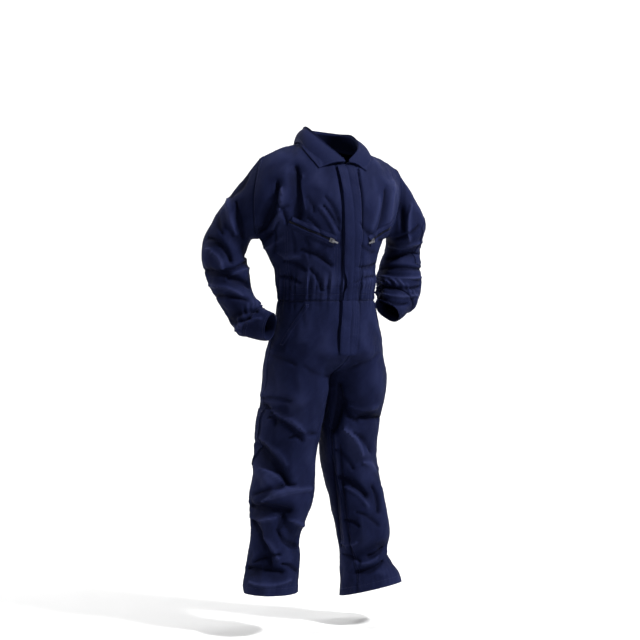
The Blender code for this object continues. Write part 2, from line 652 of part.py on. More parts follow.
def rod(name, radius, length, frame, group, sides=16):
    """Cylinder along the local y axis, centred on the frame's origin."""
    bpy.ops.mesh.primitive_cylinder_add(radius=radius, depth=length, vertices=sides)
    made = bpy.context.object
    made.name = name
    for vertex in made.data.vertices:
        x, y, z = vertex.co
        vertex.co = (x, z, -y)
    return settle(made, frame, group)


def settle(made, frame, group):
    """Move an object to its frame and its collection."""
    made.matrix_world = frame
    for old_group in list(made.users_collection):
        old_group.objects.unlink(made)
    group.objects.link(made)
    if group is helpers:
        made.hide_render = True
        made.display_type = "WIRE"
    return made


def combine(base, other, operation):
    """Boolean of two objects, kept as a live modifier."""
    modifier = base.modifiers.new(other.name, "BOOLEAN")
    modifier.object = other
    modifier.operation = operation
    modifier.solver = "EXACT"


def zip_fittings(side, word, pieces):
    """Slider at the inner end of a chest zip, and its pull tab on a pin across the zip.

    Local x runs along the zip towards the centre, y across it, and z out of the cloth.
    """
    inner = np.array(CHEST_ZIP_INNER)
    outer = np.array(CHEST_ZIP_OUTER)
    place = inner + (outer - inner) * SLIDER_SHARE
    ahead = inner + (outer - inner) * (SLIDER_SHARE - 0.05)
    here, out = spot(pieces, place[0] * side, place[1])
    there = spot(pieces, ahead[0] * side, ahead[1])[0]
    along = unit(there - here - out * ((there - here) @ out))
    across = np.cross(out, along)
    turn = Matrix([along, across, out]).transposed().to_4x4()
    seat = here + out * (LAY_LIFT + ZIP_WALL + SEAT_GAP)
    plate_frame = Matrix.Translation(seat) @ turn
    pin_height = SLIDER_PLATE[2] + SEAT_GAP + PULL_EYE
    pin_frame = Matrix.Translation(seat + out * pin_height) @ turn
    slider = block("slider_" + word, SLIDER_PLATE, (0, 0, SLIDER_PLATE[2] / 2),
                   plate_frame, suit)
    cheek_size = (2 * PULL_EYE, CHEEK, pin_height + PIN_RADIUS + CHEEK_CAP)
    for rank in (-1, 1):
        middle = rank * (PULL_WIDTH / 2 + SEAT_GAP + CHEEK / 2)
        cheek = block("cheek_guide", cheek_size, (0, middle, cheek_size[2] / 2 + 0.0002),
                      plate_frame, helpers)
        combine(slider, cheek, "UNION")
    pin = rod("pin_guide", PIN_RADIUS, PULL_WIDTH + 2 * SEAT_GAP + CHEEK, pin_frame, helpers)
    combine(slider, pin, "UNION")
    tilt = Matrix.Rotation(math.radians(PULL_TILT), 4, "Y")
    pull = block("pull_" + word, (PULL_LENGTH, PULL_WIDTH, PULL_THICKNESS),
                 (PULL_LENGTH / 2, 0, 0), pin_frame @ tilt, suit)
    eye = rod("eye_guide", PULL_EYE, PULL_WIDTH * 0.98, pin_frame, helpers)
    combine(pull, eye, "UNION")
    hole = rod("hole_guide", PIN_RADIUS + SEAT_GAP, PULL_WIDTH * 2, pin_frame, helpers)
    combine(pull, hole, "DIFFERENCE")
    for made in (slider, pull):
        made.data.materials.append(material(made.name + "_finish", STEEL, 0.3, 1.0))


def build_collar():
    """Turned-down collar: a strip up its stand, over the fold, and down the fall."""
    ring = []
    for side, face, order in ((RIGHT, FRONT, 1), (RIGHT, BACK, -1),
                              (LEFT, BACK, 1), (LEFT, FRONT, -1)):
        number = net_numbers["bodice", side, face][-1, :NECK_COLUMNS + 1][::order]
        ring.extend(number[(1 if ring else 0):])
    ring = np.array(ring)
    neck = net_points[ring]
    q = np.linspace(-1, 1, len(ring) * 2 - 1)
    place = (q + 1) / 2 * (len(ring) - 1)
    low = np.clip(place.astype(int), 0, len(ring) - 2)
    share = (place - low)[:, None]
    base = neck[low] * (1 - share) + neck[low + 1] * share
    value = read_table(COLLAR, q)
    fold, edge = value[:, :3], value[:, 3:]
    out = base - np.array(COLLAR_AXIS)
    out[:, 2] = 0
    out = unit(out)
    up = np.array([0.0, 0.0, 1.0])
    base = base - out * STAND_INSET + up * STAND_RISE
    height = np.clip(fold[:, 2] - base[:, 2], 0.0, None)[:, None]
    drop = np.minimum(FOLD_DROP, height * 0.5)
    inner_top = fold - out * FOLD_HALF - up * drop
    outer_top = fold + out * FOLD_HALF - up * FOLD_DROP
    rows = [base, base * 0.5 + inner_top * 0.5, inner_top, fold, outer_top]
    for share in FALL_SHARES:
        rise = COLLAR_CROWN * math.sin(math.pi * share)
        rows.append(outer_top + (edge - outer_top) * share + (out * 0.6 + up * 0.8) * rise)
    grid = np.stack(rows)
    skin = BVHTree.FromPolygons([tuple(p) for p in net_points],
                                [tuple(int(i) for i in f)
                                 for q_set in net_cells.values() for f in q_set.reshape(-1, 4)])
    for row in grid[4:]:
        for i, point in enumerate(row):
            near, normal, _, _ = skin.find_nearest(point.tolist())
            short = COLLAR_CLEAR - (point - np.array(near)) @ np.array(normal)
            if short > 0:
                row[i] = point + np.array(normal) * short
    count = len(q)
    quads = []
    for row in range(len(rows) - 1):
        for column in range(count - 1):
            a = row * count + column
            quads.append((a, a + 1, a + 1 + count, a + count))
    points = grid.reshape(-1, 3)
    normals = vertex_normals(points, np.array(quads))
    middle = 5 * count + count // 2
    if normals[middle][2] < 0:
        quads = [face[::-1] for face in quads]
        normals = -normals
    wall("collar", points, points - normals * COLLAR_WALL, quads)


# ---- Start ----------------------------------------------------------------------------------
for old in list(bpy.data.objects):
    bpy.data.objects.remove(old, do_unlink=True)
suit = bpy.data.collections.new("boiler_suit")
helpers = bpy.data.collections.new("guides")
for group in (suit, helpers):
    bpy.context.scene.collection.children.link(group)
net_points, net_normals, net_numbers, net_cells, net_flips = build_net()
net_tight = [net_numbers["sleeve", RIGHT, 0][0, 0], net_numbers["sleeve", LEFT, 0][0, 0],
             net_numbers["trouser", RIGHT, FRONT][CROTCH_ROW, 0]]

SIDE_NAMES = {RIGHT: "right", LEFT: "left"}
panel("back", np.concatenate([net_cells["bodice", side, BACK].reshape(-1, 4)
                              for side in (RIGHT, LEFT)]))
for side, word in SIDE_NAMES.items():
    panel("front_" + word, net_cells["bodice", side, FRONT])
    panel("leg_front_" + word, net_cells["trouser", side, FRONT])
    panel("leg_back_" + word, net_cells["trouser", side, BACK])
    panel("sleeve_" + word, net_cells["sleeve", side, 0][:-CUFF_ROWS])
    panel("cuff_" + word, net_cells["sleeve", side, 0][-CUFF_ROWS:], thickness=CUFF_WALL)


front_map = flat_map([(("bodice", RIGHT, FRONT), -1), (("bodice", LEFT, FRONT), 1),
                      (("trouser", RIGHT, FRONT), -1), (("trouser", LEFT, FRONT), 1)])
lay_on("front_zip", front_map, FRONT_ZIP_OUTLINE, thickness=FRONT_ZIP_WALL, colour=TAPE)
lay_on("placket", front_map, PLACKET_OUTLINE, lift=PLACKET_LIFT, thickness=PLACKET_WALL)
for side, word in SIDE_NAMES.items():
    zip_ends = (CHEST_ZIP_INNER, CHEST_ZIP_OUTER)
    lay_on("chest_zip_" + word, front_map, strip(*zip_ends, CHEST_ZIP_HALF, side, 0.0),
           thickness=ZIP_WALL, colour=TAPE)
    for edge, rank in (("upper", 1), ("lower", -1)):
        offset = rank * (CHEST_ZIP_HALF + SEAT_GAP + CHEST_LIP / 2)
        lay_on("chest_lip_" + edge + "_" + word, front_map,
               strip(*zip_ends, CHEST_LIP / 2, side, offset))
    zip_fittings(side, word, front_map)
    lay_on("hip_pocket_" + word, front_map,
           strip(HIP_POCKET_TOP, HIP_POCKET_FOOT, HIP_POCKET_EDGE / 2, side, 0.0))
rule_map = flat_map([(("trouser", RIGHT, BACK), 1)], zero="side")
lay_on("rule_pocket", rule_map, RULE_POCKET_OUTLINE, thickness=RULE_POCKET_WALL)
sleeve_map = flat_map([(("sleeve", LEFT, 0), 1)], zero="outer")
lay_on("sleeve_pocket", sleeve_map, SLEEVE_POCKET_OUTLINE)
build_collar()
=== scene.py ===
"""Boiler suit for a child, filled out as if worn, hands on the hips, with no wearer.

The cloth is one fine skin, worked out from the suit's own sizes, with its creases given one by
one. Each panel is a thin shell cut from that skin. Flaps, pockets, zips and stitches are laid
on it. Lengths are metres; the suit faces -Y and its wearer's right is at -X.
"""
import math

import bpy
import numpy as np
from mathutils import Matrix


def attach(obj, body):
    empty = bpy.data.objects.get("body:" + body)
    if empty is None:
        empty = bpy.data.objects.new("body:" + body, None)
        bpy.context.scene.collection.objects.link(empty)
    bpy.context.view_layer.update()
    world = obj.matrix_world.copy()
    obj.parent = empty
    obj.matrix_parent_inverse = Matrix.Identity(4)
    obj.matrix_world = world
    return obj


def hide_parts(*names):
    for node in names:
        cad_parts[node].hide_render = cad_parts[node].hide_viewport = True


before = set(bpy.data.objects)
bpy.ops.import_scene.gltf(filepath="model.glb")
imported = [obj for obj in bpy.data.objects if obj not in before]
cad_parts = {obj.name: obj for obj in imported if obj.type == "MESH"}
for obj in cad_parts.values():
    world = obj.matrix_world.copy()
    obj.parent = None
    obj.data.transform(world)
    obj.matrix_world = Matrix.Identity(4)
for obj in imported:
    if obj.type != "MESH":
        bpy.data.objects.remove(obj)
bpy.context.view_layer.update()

# ---- Driving sizes --------------------------------------------------------------------------
WALL = 0.0014            # drill, in the visible shells
SEAM_PULL = 0.00012      # each panel stops this short of its seam line
TIGHT_THIN = 0.45        # share of the wall squeezed out at armpits and crotch
TIGHT_REACH = (0.015, 0.040)
CUFF_WALL = 0.0021       # the cuffs are doubled
VIEW_TURN = math.radians(27.0)   # three-quarter direction in which the creases are laid out
RIGHT, LEFT = -1, 1
FRONT, BACK = -1, 1
SIDES = ((RIGHT, "right"), (LEFT, "left"))
WAIST_Z = -0.2965
CROTCH_Z = -0.468
HEM_Z = {RIGHT: -0.862, LEFT: -0.876}
HEM_RISE = {RIGHT: 0.04, LEFT: 0.27}
ARMPIT_SHARE = 5 / 12    # share of the bodice's rows below the armpit
NECK_SHARE = 0.5         # share of the bodice's columns that end on the neckline
CROTCH_SHARE = 0.3       # share of the trouser's rows above the crotch
SLEEVE_HEAD = 0.22       # share of a sleeve between its armhole and its first full ring
CUFF_SHARE = 0.875       # where the sleeve ends and the cuff band starts
ARMHOLE_CALM = 0.030     # creases die out over this much beside an armhole
TURN_ROW = 0.55          # share of the bodice's rows from which it rounds over to the top
NECK_DIP = 1.6           # how late the neckline dips towards its centre
SEAT_Z = -0.395          # the hips turn into two legs from here down to the crotch,
SEAT_RISE = 0.02         # and from this much higher at the side seams
HEM_TILT_Z = -0.79       # the hems tilt from here down
PATH_STEP = 0.01         # share of a sleeve over which its direction is taken

# cells of the fine grids
HALF_COLUMNS = 84
BODICE_LOW_ROWS = 50
BODICE_HIGH_ROWS = 66
HIP_ROWS = 64
LEG_ROWS = 136
SLEEVE_ROWS = 112
CUFF_ROWS = 20
CROWD = 0.5              # how much grid lines gather towards a seam

# ---- Form tables ----------------------------------------------------------------------------
# bodice, by row share: centre line x, front y, back y
BODICE_CENTRE = (
    (0.00, 0.014, -0.078, 0.070),
    (0.20, 0.014, -0.088, 0.080),
    (0.40, 0.010, -0.097, 0.090),
    (0.70, 0.005, -0.096, 0.092),
    (1.00, 0.000, -0.080, 0.050),
)
# bodice side seam, by height: x right, x left, y
BODICE_SIDE = (
    (WAIST_Z, -0.098, 0.099, 0.004),
    (-0.243, -0.104, 0.098, 0.004),
    (-0.215, -0.117, 0.106, 0.006),
    (-0.179, -0.137, 0.125, 0.010),
)
# hips, by height: centre x, side x right, side x left, side y, front y, back y
HIPS = (
    (WAIST_Z, 0.014, -0.098, 0.099, 0.004, -0.078, 0.070),
    (-0.335, 0.010, -0.104, 0.104, 0.003, -0.084, 0.082),
    (-0.374, 0.004, -0.115, 0.113, 0.003, -0.090, 0.093),
    (-0.430, 0.000, -0.123, 0.120, 0.008, -0.090, 0.098),
    (CROTCH_Z, 0.000, -0.123, 0.126, 0.012, -0.078, 0.090),
)
# legs, by height: centre x, centre y, half width, half depth, turn outwards in degrees
LEGS = {
    RIGHT: (
        (-0.400, -0.0612, 0.008, 0.0607, 0.084, 0),
        (CROTCH_Z, -0.0622, 0.012, 0.0612, 0.078, 0),
        (-0.550, -0.0670, 0.030, 0.0620, 0.068, 0),
        (-0.608, -0.0700, 0.0385, 0.0600, 0.064, 8),
        (-0.686, -0.0830, 0.030, 0.0620, 0.066, 24),
        (-0.764, -0.0976, 0.029, 0.0480, 0.053, 30),
        (-0.803, -0.0993, 0.030, 0.0520, 0.055, 34),
        (-0.852, -0.1094, 0.023, 0.0530, 0.056, 38),
        (-0.876, -0.1100, 0.020, 0.0500, 0.054, 40),
    ),
    LEFT: (
        (-0.400, 0.0640, 0.008, 0.0620, 0.084, 0),
        (CROTCH_Z, 0.0660, 0.012, 0.0635, 0.078, 0),
        (-0.550, 0.0655, 0.030, 0.0575, 0.064, 18),
        (-0.608, 0.0690, 0.0385, 0.0530, 0.060, 24),
        (-0.686, 0.0830, 0.030, 0.0510, 0.058, 26),
        (-0.764, 0.0976, 0.029, 0.0520, 0.055, 28),
        (-0.803, 0.0993, 0.030, 0.0420, 0.050, 30),
        (-0.852, 0.1090, 0.023, 0.0520, 0.060, 33),
        (-0.876, 0.1110, 0.020, 0.0560, 0.064, 35),
    ),
}
# neck and shoulder points: x, y, z
NECK_FRONT = (0.000, -0.080, -0.037)
NECK_BACK = (0.000, 0.050, 0.008)
NECK_SIDE = {RIGHT: (-0.062, -0.006, 0.003), LEFT: (0.062, -0.008, -0.006)}
SHOULDER_TIP = {RIGHT: (-0.146, -0.010, -0.026), LEFT: (0.149, -0.020, -0.042)}
SHOULDER_ARCH = 0.004
# how far the armhole bows out from the line between shoulder tip and armpit: x, y
ARMHOLE_BOW = {
    (RIGHT, FRONT): (-0.032, -0.037), (RIGHT, BACK): (-0.002, 0.037),
    (LEFT, FRONT): (0.011, -0.025), (LEFT, BACK): (0.011, 0.054),
}
# sleeves, from armhole to cuff opening: across, depth (both in the three-quarter direction),
# height, half size towards the elbow side, half size towards the front
SLEEVES = {
    RIGHT: (
        (-0.140, -0.058, -0.108, 0.072, 0.052),
        (-0.172, -0.048, -0.148, 0.043, 0.053),
        (-0.196, -0.050, -0.199, 0.043, 0.052),
        (-0.187, -0.048, -0.250, 0.041, 0.048),
        (-0.169, -0.050, -0.297, 0.034, 0.042),
        (-0.149, -0.060, -0.329, 0.034, 0.035),
        (-0.129, -0.070, -0.341, 0.031, 0.029),
        (-0.106, -0.080, -0.346, 0.027, 0.026),
    ),
    LEFT: (
        (0.136, 0.055, -0.110, 0.066, 0.046),
        (0.1555, 0.0845, -0.147, 0.042, 0.0525),
        (0.155, 0.108, -0.190, 0.034, 0.046),
        (0.150, 0.108, -0.228, 0.040, 0.046),
        (0.147, 0.095, -0.262, 0.046, 0.046),
        (0.143, 0.078, -0.289, 0.041, 0.042),
        (0.134, 0.063, -0.305, 0.034, 0.034),
        (0.122, 0.052, -0.318, 0.0285, 0.029),
    ),
}
SLEEVE_FRONT = {RIGHT: (-0.454, -0.891, 0.0), LEFT: (-0.30, -0.95, 0.0)}

# ---- Creases --------------------------------------------------------------------------------
# Largest folds, laid out in the three-quarter direction: side facing it (1) or away (-1),
# start across, start z, end across, end z, half width, height
FOLDS = (
    (1, -0.058, -0.050, -0.056, -0.135, 0.013, -0.006),
    (1, -0.092, -0.080, -0.122, -0.165, 0.012, -0.006),
    (1, -0.076, -0.060, -0.086, -0.150, 0.012, 0.004),
    (1, -0.125, -0.165, -0.105, -0.130, 0.011, -0.005),
    (1, 0.130, -0.080, 0.118, -0.170, 0.013, 0.005),
    (1, -0.150, -0.120, -0.175, -0.175, 0.016, -0.007),
    (1, -0.222, -0.180, -0.184, -0.218, 0.014, -0.006),
    (1, -0.236, -0.242, -0.150, -0.268, 0.013, -0.007),
    (1, -0.205, -0.325, -0.140, -0.310, 0.014, -0.006),
    (1, 0.105, -0.245, 0.185, -0.262, 0.012, -0.006),
    (1, 0.105, -0.287, 0.150, -0.297, 0.010, -0.005),
    (1, -0.125, -0.482, -0.060, -0.486, 0.016, 0.006),
    (1, -0.125, -0.503, -0.080, -0.500, 0.012, -0.006),
    (1, -0.140, -0.573, -0.080, -0.643, 0.014, -0.008),
    (1, -0.150, -0.600, -0.088, -0.672, 0.012, 0.006),
    (1, -0.148, -0.698, -0.074, -0.700, 0.014, -0.008),
    (1, -0.084, -0.706, -0.056, -0.770, 0.013, -0.007),
    (1, -0.142, -0.726, -0.110, -0.800, 0.013, -0.007),
    (1, -0.150, -0.817, -0.086, -0.817, 0.013, -0.007),
    (1, 0.023, -0.463, 0.014, -0.550, 0.012, -0.008),
    (1, 0.032, -0.497, 0.105, -0.534, 0.013, -0.007),
    (1, 0.037, -0.550, 0.072, -0.600, 0.013, 0.006),
    (1, 0.028, -0.648, 0.076, -0.682, 0.013, -0.006),
    (1, 0.090, -0.668, 0.102, -0.716, 0.012, -0.006),
    (1, 0.112, -0.790, 0.066, -0.804, 0.013, -0.007),
    (1, 0.112, -0.818, 0.066, -0.836, 0.012, -0.006),
    (-1, -0.090, -0.100, -0.060, -0.220, 0.015, -0.006),
    (-1, 0.080, -0.090, 0.050, -0.210, 0.015, -0.006),
    (-1, -0.050, -0.440, -0.100, -0.480, 0.015, -0.007),
    (-1, 0.050, -0.450, 0.100, -0.500, 0.015, -0.007),
    (-1, -0.120, -0.620, -0.060, -0.650, 0.015, -0.008),
    (-1, 0.100, -0.630, 0.040, -0.655, 0.015, -0.008),
    (-1, -0.130, -0.790, -0.080, -0.800, 0.014, -0.007),
    (-1, 0.110, -0.800, 0.060, -0.795, 0.014, -0.007),
)
# Finer creases, in the same directions: side, start across, start z, end across, end z,
# bow of the line, half width, height, lean of its profile to one side
CREASES = (
    # right front: drag lines from the shoulder and the armpit
    (1, -0.058, -0.045, -0.052, -0.140, 0.004, 0.0060, -0.0020, 0.8),
    (1, -0.046, -0.060, -0.040, -0.125, -0.003, 0.0050, 0.0014, 0.4),
    (1, -0.092, -0.075, -0.120, -0.160, 0.006, 0.0055, -0.0024, 0.9),
    (1, -0.083, -0.085, -0.100, -0.160, 0.004, 0.0050, 0.0016, 0.3),
    (1, -0.128, -0.170, -0.100, -0.120, -0.004, 0.0045, -0.0022, 0.7),
    (1, -0.126, -0.184, -0.090, -0.150, -0.005, 0.0045, -0.0018, 0.7),
    (1, -0.120, -0.196, -0.082, -0.176, -0.003, 0.0045, 0.0014, 0.5),
    (1, -0.110, -0.150, -0.070, -0.118, 0.003, 0.0040, -0.0012, 0.6),
    (1, -0.002, -0.100, 0.024, -0.150, 0.003, 0.0050, -0.0014, 0.6),
    (1, -0.014, -0.118, 0.016, -0.165, 0.002, 0.0045, 0.0010, 0.4),
    (1, -0.034, -0.140, -0.010, -0.172, 0.002, 0.0045, -0.0012, 0.6),
    (1, -0.046, -0.200, 0.008, -0.230, 0.004, 0.0055, -0.0022, 0.7),
    (1, -0.080, -0.222, -0.040, -0.238, 0.004, 0.0050, -0.0018, 0.7),
    (1, -0.090, -0.205, -0.052, -0.214, -0.003, 0.0050, 0.0014, 0.4),
    (1, -0.086, -0.250, -0.050, -0.262, 0.003, 0.0050, -0.0018, 0.8),
    (1, -0.030, -0.236, -0.008, -0.276, 0.003, 0.0045, -0.0016, 0.6),
    (1, -0.092, -0.113, -0.074, -0.152, 0.003, 0.0036, -0.0014, 0.8),
    (1, -0.097, -0.164, -0.101, -0.203, 0.002, 0.0040, -0.0014, 0.7),
    (1, -0.066, -0.164, -0.060, -0.203, 0.002, 0.0038, -0.0010, 0.7),
    (1, -0.039, -0.175, -0.033, -0.214, 0.002, 0.0040, -0.0010, 0.6),
    (1, -0.006, -0.117, 0.025, -0.164, 0.002, 0.0038, -0.0012, 0.8),
    (1, -0.037, -0.101, -0.023, -0.129, 0.002, 0.0038, -0.0009, 0.6),
    # left front, with the drag along the flap's sewn edge
    (1, 0.0605, -0.046, 0.0680, -0.160, 0.002, 0.0030, -0.0016, 0.8),
    (1, 0.0690, -0.170, 0.0600, -0.300, -0.002, 0.0028, -0.0010, 0.7),
    (1, 0.128, -0.068, 0.112, -0.170, 0.004, 0.0060, 0.0020, 0.7),
    (1, 0.114, -0.085, 0.098, -0.170, 0.004, 0.0055, -0.0020, 0.7),
    (1, 0.100, -0.100, 0.086, -0.160, 0.003, 0.0050, 0.0010, 0.4),
    (1, 0.108, -0.180, 0.064, -0.150, 0.004, 0.0045, -0.0014, 0.6),
    (1, 0.100, -0.206, 0.066, -0.190, 0.003, 0.0045, -0.0012, 0.6),
    (1, 0.096, -0.226, 0.060, -0.232, 0.003, 0.0050, -0.0016, 0.7),
    (1, 0.092, -0.250, 0.056, -0.262, -0.003, 0.0050, -0.0014, 0.6),
    # right sleeve
    (1, -0.150, -0.058, -0.186, -0.100, 0.006, 0.0060, -0.0016, 0.6),
    (1, -0.186, -0.100, -0.172, -0.170, -0.005, 0.0060, 0.0022, 0.5),
    (1, -0.170, -0.110, -0.156, -0.176, -0.003, 0.0050, -0.0022, 0.7),
    (1, -0.206, -0.130, -0.196, -0.170, -0.003, 0.0050, -0.0014, 0.6),
    (1, -0.224, -0.176, -0.182, -0.222, 0.008, 0.0055, -0.0028, 0.9),
    (1, -0.230, -0.196, -0.196, -0.236, 0.006, 0.0050, 0.0018, 0.5),
    (1, -0.150, -0.220, -0.198, -0.240, 0.004, 0.0050, -0.0022, 0.8),
    (1, -0.150, -0.236, -0.190, -0.254, -0.003, 0.0045, 0.0016, 0.4),
    (1, -0.238, -0.240, -0.148, -0.270, 0.006, 0.0060, -0.0030, 0.9),
    (1, -0.228, -0.268, -0.160, -0.288, 0.006, 0.0050, 0.0018, 0.5),
    (1, -0.214, -0.290, -0.150, -0.296, 0.004, 0.0050, -0.0018, 0.7),
    (1, -0.204, -0.324, -0.146, -0.330, -0.010, 0.0055, -0.0024, 0.8),
    (1, -0.190, -0.345, -0.132, -0.316, 0.008, 0.0050, -0.0020, 0.7),
    (1, -0.176, -0.356, -0.124, -0.330, 0.006, 0.0045, 0.0014, 0.5),
    # left sleeve
    (1, 0.154, -0.072, 0.152, -0.160, -0.005, 0.0060, -0.0028, 0.8),
    (1, 0.168, -0.110, 0.164, -0.180, -0.004, 0.0050, 0.0016, 0.4),
    (1, 0.184, -0.150, 0.138, -0.176, 0.004, 0.0050, -0.0018, 0.7),
    (1, 0.190, -0.182, 0.128, -0.190, 0.004, 0.0050, 0.0016, 0.5),
    (1, 0.186, -0.206, 0.124, -0.214, -0.004, 0.0055, -0.0026, 0.8),
    (1, 0.190, -0.236, 0.106, -0.236, -0.004, 0.0055, -0.0026, 0.8),
    (1, 0.188, -0.252, 0.104, -0.250, 0.004, 0.0050, 0.0022, 0.5),
    (1, 0.186, -0.270, 0.102, -0.266, 0.005, 0.0050, -0.0024, 0.8),
    (1, 0.180, -0.288, 0.104, -0.284, 0.004, 0.0050, 0.0016, 0.5),
    (1, 0.160, -0.304, 0.106, -0.290, 0.005, 0.0045, -0.0022, 0.7),
    # hips
    (1, -0.112, -0.400, -0.060, -0.418, 0.004, 0.0055, -0.0007, 0.6),
    (1, 0.104, -0.398, 0.052, -0.424, 0.004, 0.0050, -0.0006, 0.6),
    (1, 0.008, -0.440, -0.040, -0.420, 0.005, 0.0050, -0.0006, 0.7),
    (1, 0.020, -0.436, 0.066, -0.418, -0.004, 0.0050, -0.0005, 0.7),
    # right leg
    (1, -0.126, -0.486, -0.068, -0.488, 0.004, 0.0055, -0.0019, 0.9),
    (1, -0.120, -0.498, -0.098, -0.532, 0.005, 0.0050, -0.0024, 0.8),
    (1, -0.114, -0.506, -0.040, -0.552, 0.008, 0.0050, 0.0022, 0.6),
    (1, -0.110, -0.520, -0.046, -0.566, 0.008, 0.0055, -0.0022, 0.9),
    (1, -0.070, -0.560, -0.020, -0.556, 0.006, 0.0050, -0.0014, 0.6),
    (1, -0.142, -0.572, -0.078, -0.646, 0.008, 0.0060, -0.0034, 0.9),
    (1, -0.132, -0.560, -0.076, -0.612, 0.006, 0.0050, 0.0016, 0.4),
    (1, -0.128, -0.622, -0.070, -0.662, 0.006, 0.0050, 0.0016, 0.5),
    (1, -0.122, -0.682, -0.030, -0.662, 0.008, 0.0055, 0.0024, 0.6),
    (1, -0.140, -0.672, -0.060, -0.650, 0.006, 0.0050, -0.0018, 0.7),
    (1, -0.148, -0.698, -0.072, -0.700, 0.005, 0.0060, -0.0034, 0.9),
    (1, -0.150, -0.718, -0.096, -0.712, -0.004, 0.0045, 0.0016, 0.5),
    (1, -0.084, -0.706, -0.094, -0.736, 0.003, 0.0050, -0.0028, 0.8),
    (1, -0.094, -0.736, -0.056, -0.776, -0.006, 0.0050, -0.0028, 0.8),
    (1, -0.074, -0.716, -0.040, -0.742, 0.005, 0.0050, 0.0016, 0.5),
    (1, -0.142, -0.724, -0.108, -0.800, 0.005, 0.0050, -0.0028, 0.8),
    (1, -0.130, -0.744, -0.094, -0.790, 0.005, 0.0050, 0.0016, 0.4),
    (1, -0.138, -0.800, -0.090, -0.784, 0.004, 0.0050, -0.0020, 0.8),
    (1, -0.150, -0.816, -0.086, -0.818, 0.005, 0.0055, -0.0026, 0.8),
    (1, -0.084, -0.802, -0.056, -0.820, 0.003, 0.0045, -0.0020, 0.7),
    (1, -0.146, -0.838, -0.070, -0.834, -0.005, 0.0050, 0.0014, 0.5),
    # left leg
    (1, 0.024, -0.462, 0.012, -0.552, 0.006, 0.0060, -0.0032, 0.9),
    (1, 0.010, -0.560, 0.030, -0.790, -0.003, 0.0034, -0.0016, 0.5),
    (1, 0.019, -0.560, 0.041, -0.790, -0.003, 0.0030, 0.0008, 0.3),
    (1, 0.027, -0.580, 0.050, -0.800, -0.003, 0.0034, -0.0012, 0.5),
    (1, 0.032, -0.496, 0.058, -0.532, -0.006, 0.0055, -0.0030, 0.8),
    (1, 0.056, -0.530, 0.106, -0.532, 0.006, 0.0055, -0.0026, 0.8),
    (1, 0.046, -0.500, 0.098, -0.506, -0.006, 0.0060, 0.0016, 0.5),
    (1, 0.036, -0.550, 0.070, -0.600, 0.005, 0.0055, 0.0022, 0.6),
    (1, 0.052, -0.556, 0.088, -0.596, 0.005, 0.0050, -0.0016, 0.7),
    (1, 0.018, -0.590, 0.052, -0.628, 0.005, 0.0050, -0.0014, 0.6),
    (1, 0.074, -0.616, 0.096, -0.636, 0.003, 0.0060, 0.0020, 0.4),
    (1, 0.026, -0.646, 0.078, -0.684, 0.006, 0.0055, -0.0030, 0.8),
    (1, 0.036, -0.666, 0.082, -0.704, 0.005, 0.0050, 0.0014, 0.5),
    (1, 0.090, -0.666, 0.102, -0.716, 0.004, 0.0050, -0.0024, 0.8),
    (1, 0.036, -0.732, 0.064, -0.742, 0.003, 0.0045, -0.0022, 0.7),
    (1, 0.060, -0.716, 0.104, -0.744, 0.005, 0.0050, -0.0012, 0.6),
    (1, 0.112, -0.790, 0.084, -0.804, 0.003, 0.0050, -0.0028, 0.8),
    (1, 0.112, -0.816, 0.064, -0.834, 0.004, 0.0050, -0.0026, 0.8),
    (1, 0.104, -0.804, 0.072, -0.820, 0.003, 0.0045, 0.0018, 0.5),
    (1, 0.036, -0.806, 0.066, -0.816, 0.003, 0.0050, -0.0016, 0.7),
    (1, 0.030, -0.780, 0.060, -0.776, -0.003, 0.0050, 0.0014, 0.5),
    # back of the bodice
    (-1, -0.110, -0.080, -0.050, -0.190, 0.008, 0.0070, -0.0026, 0.8),
    (-1, -0.080, -0.070, -0.026, -0.160, 0.006, 0.0060, 0.0016, 0.4),
    (-1, 0.100, -0.080, 0.044, -0.180, -0.008, 0.0070, -0.0026, 0.8),
    (-1, 0.070, -0.076, 0.020, -0.150, -0.006, 0.0060, 0.0014, 0.4),
    (-1, -0.100, -0.200, -0.020, -0.226, 0.006, 0.0060, -0.0022, 0.8),
    (-1, 0.090, -0.196, 0.006, -0.236, 0.006, 0.0060, -0.0020, 0.8),
    (-1, -0.070, -0.244, 0.030, -0.250, -0.005, 0.0060, 0.0018, 0.5),
    (-1, -0.120, -0.160, -0.086, -0.120, 0.004, 0.0050, -0.0020, 0.7),
    (-1, 0.112, -0.170, 0.084, -0.124, 0.004, 0.0050, -0.0020, 0.7),
    # backs of the sleeves
    (-1, -0.190, -0.130, -0.140, -0.170, 0.005, 0.0060, -0.0022, 0.8),
    (-1, -0.226, -0.190, -0.150, -0.214, 0.006, 0.0060, -0.0028, 0.9),
    (-1, -0.230, -0.226, -0.150, -0.236, -0.005, 0.0055, 0.0020, 0.5),
    (-1, -0.224, -0.256, -0.150, -0.262, 0.006, 0.0055, -0.0026, 0.8),
    (-1, -0.200, -0.296, -0.140, -0.306, 0.005, 0.0055, -0.0020, 0.8),
    (-1, 0.186, -0.140, 0.130, -0.164, 0.005, 0.0060, -0.0022, 0.8),
    (-1, 0.190, -0.196, 0.120, -0.204, 0.005, 0.0060, -0.0026, 0.8),
    (-1, 0.192, -0.222, 0.116, -0.226, -0.005, 0.0055, 0.0020, 0.5),
    (-1, 0.188, -0.250, 0.112, -0.250, 0.005, 0.0055, -0.0026, 0.8),
    (-1, 0.176, -0.280, 0.110, -0.276, 0.004, 0.0050, -0.0020, 0.8),
    # seat and backs of the legs
    (-1, -0.020, -0.400, -0.086, -0.450, 0.008, 0.0070, -0.0026, 0.8),
    (-1, 0.024, -0.404, 0.086, -0.456, -0.008, 0.0070, -0.0026, 0.8),
    (-1, -0.016, -0.440, -0.100, -0.500, 0.008, 0.0060, -0.0030, 0.9),
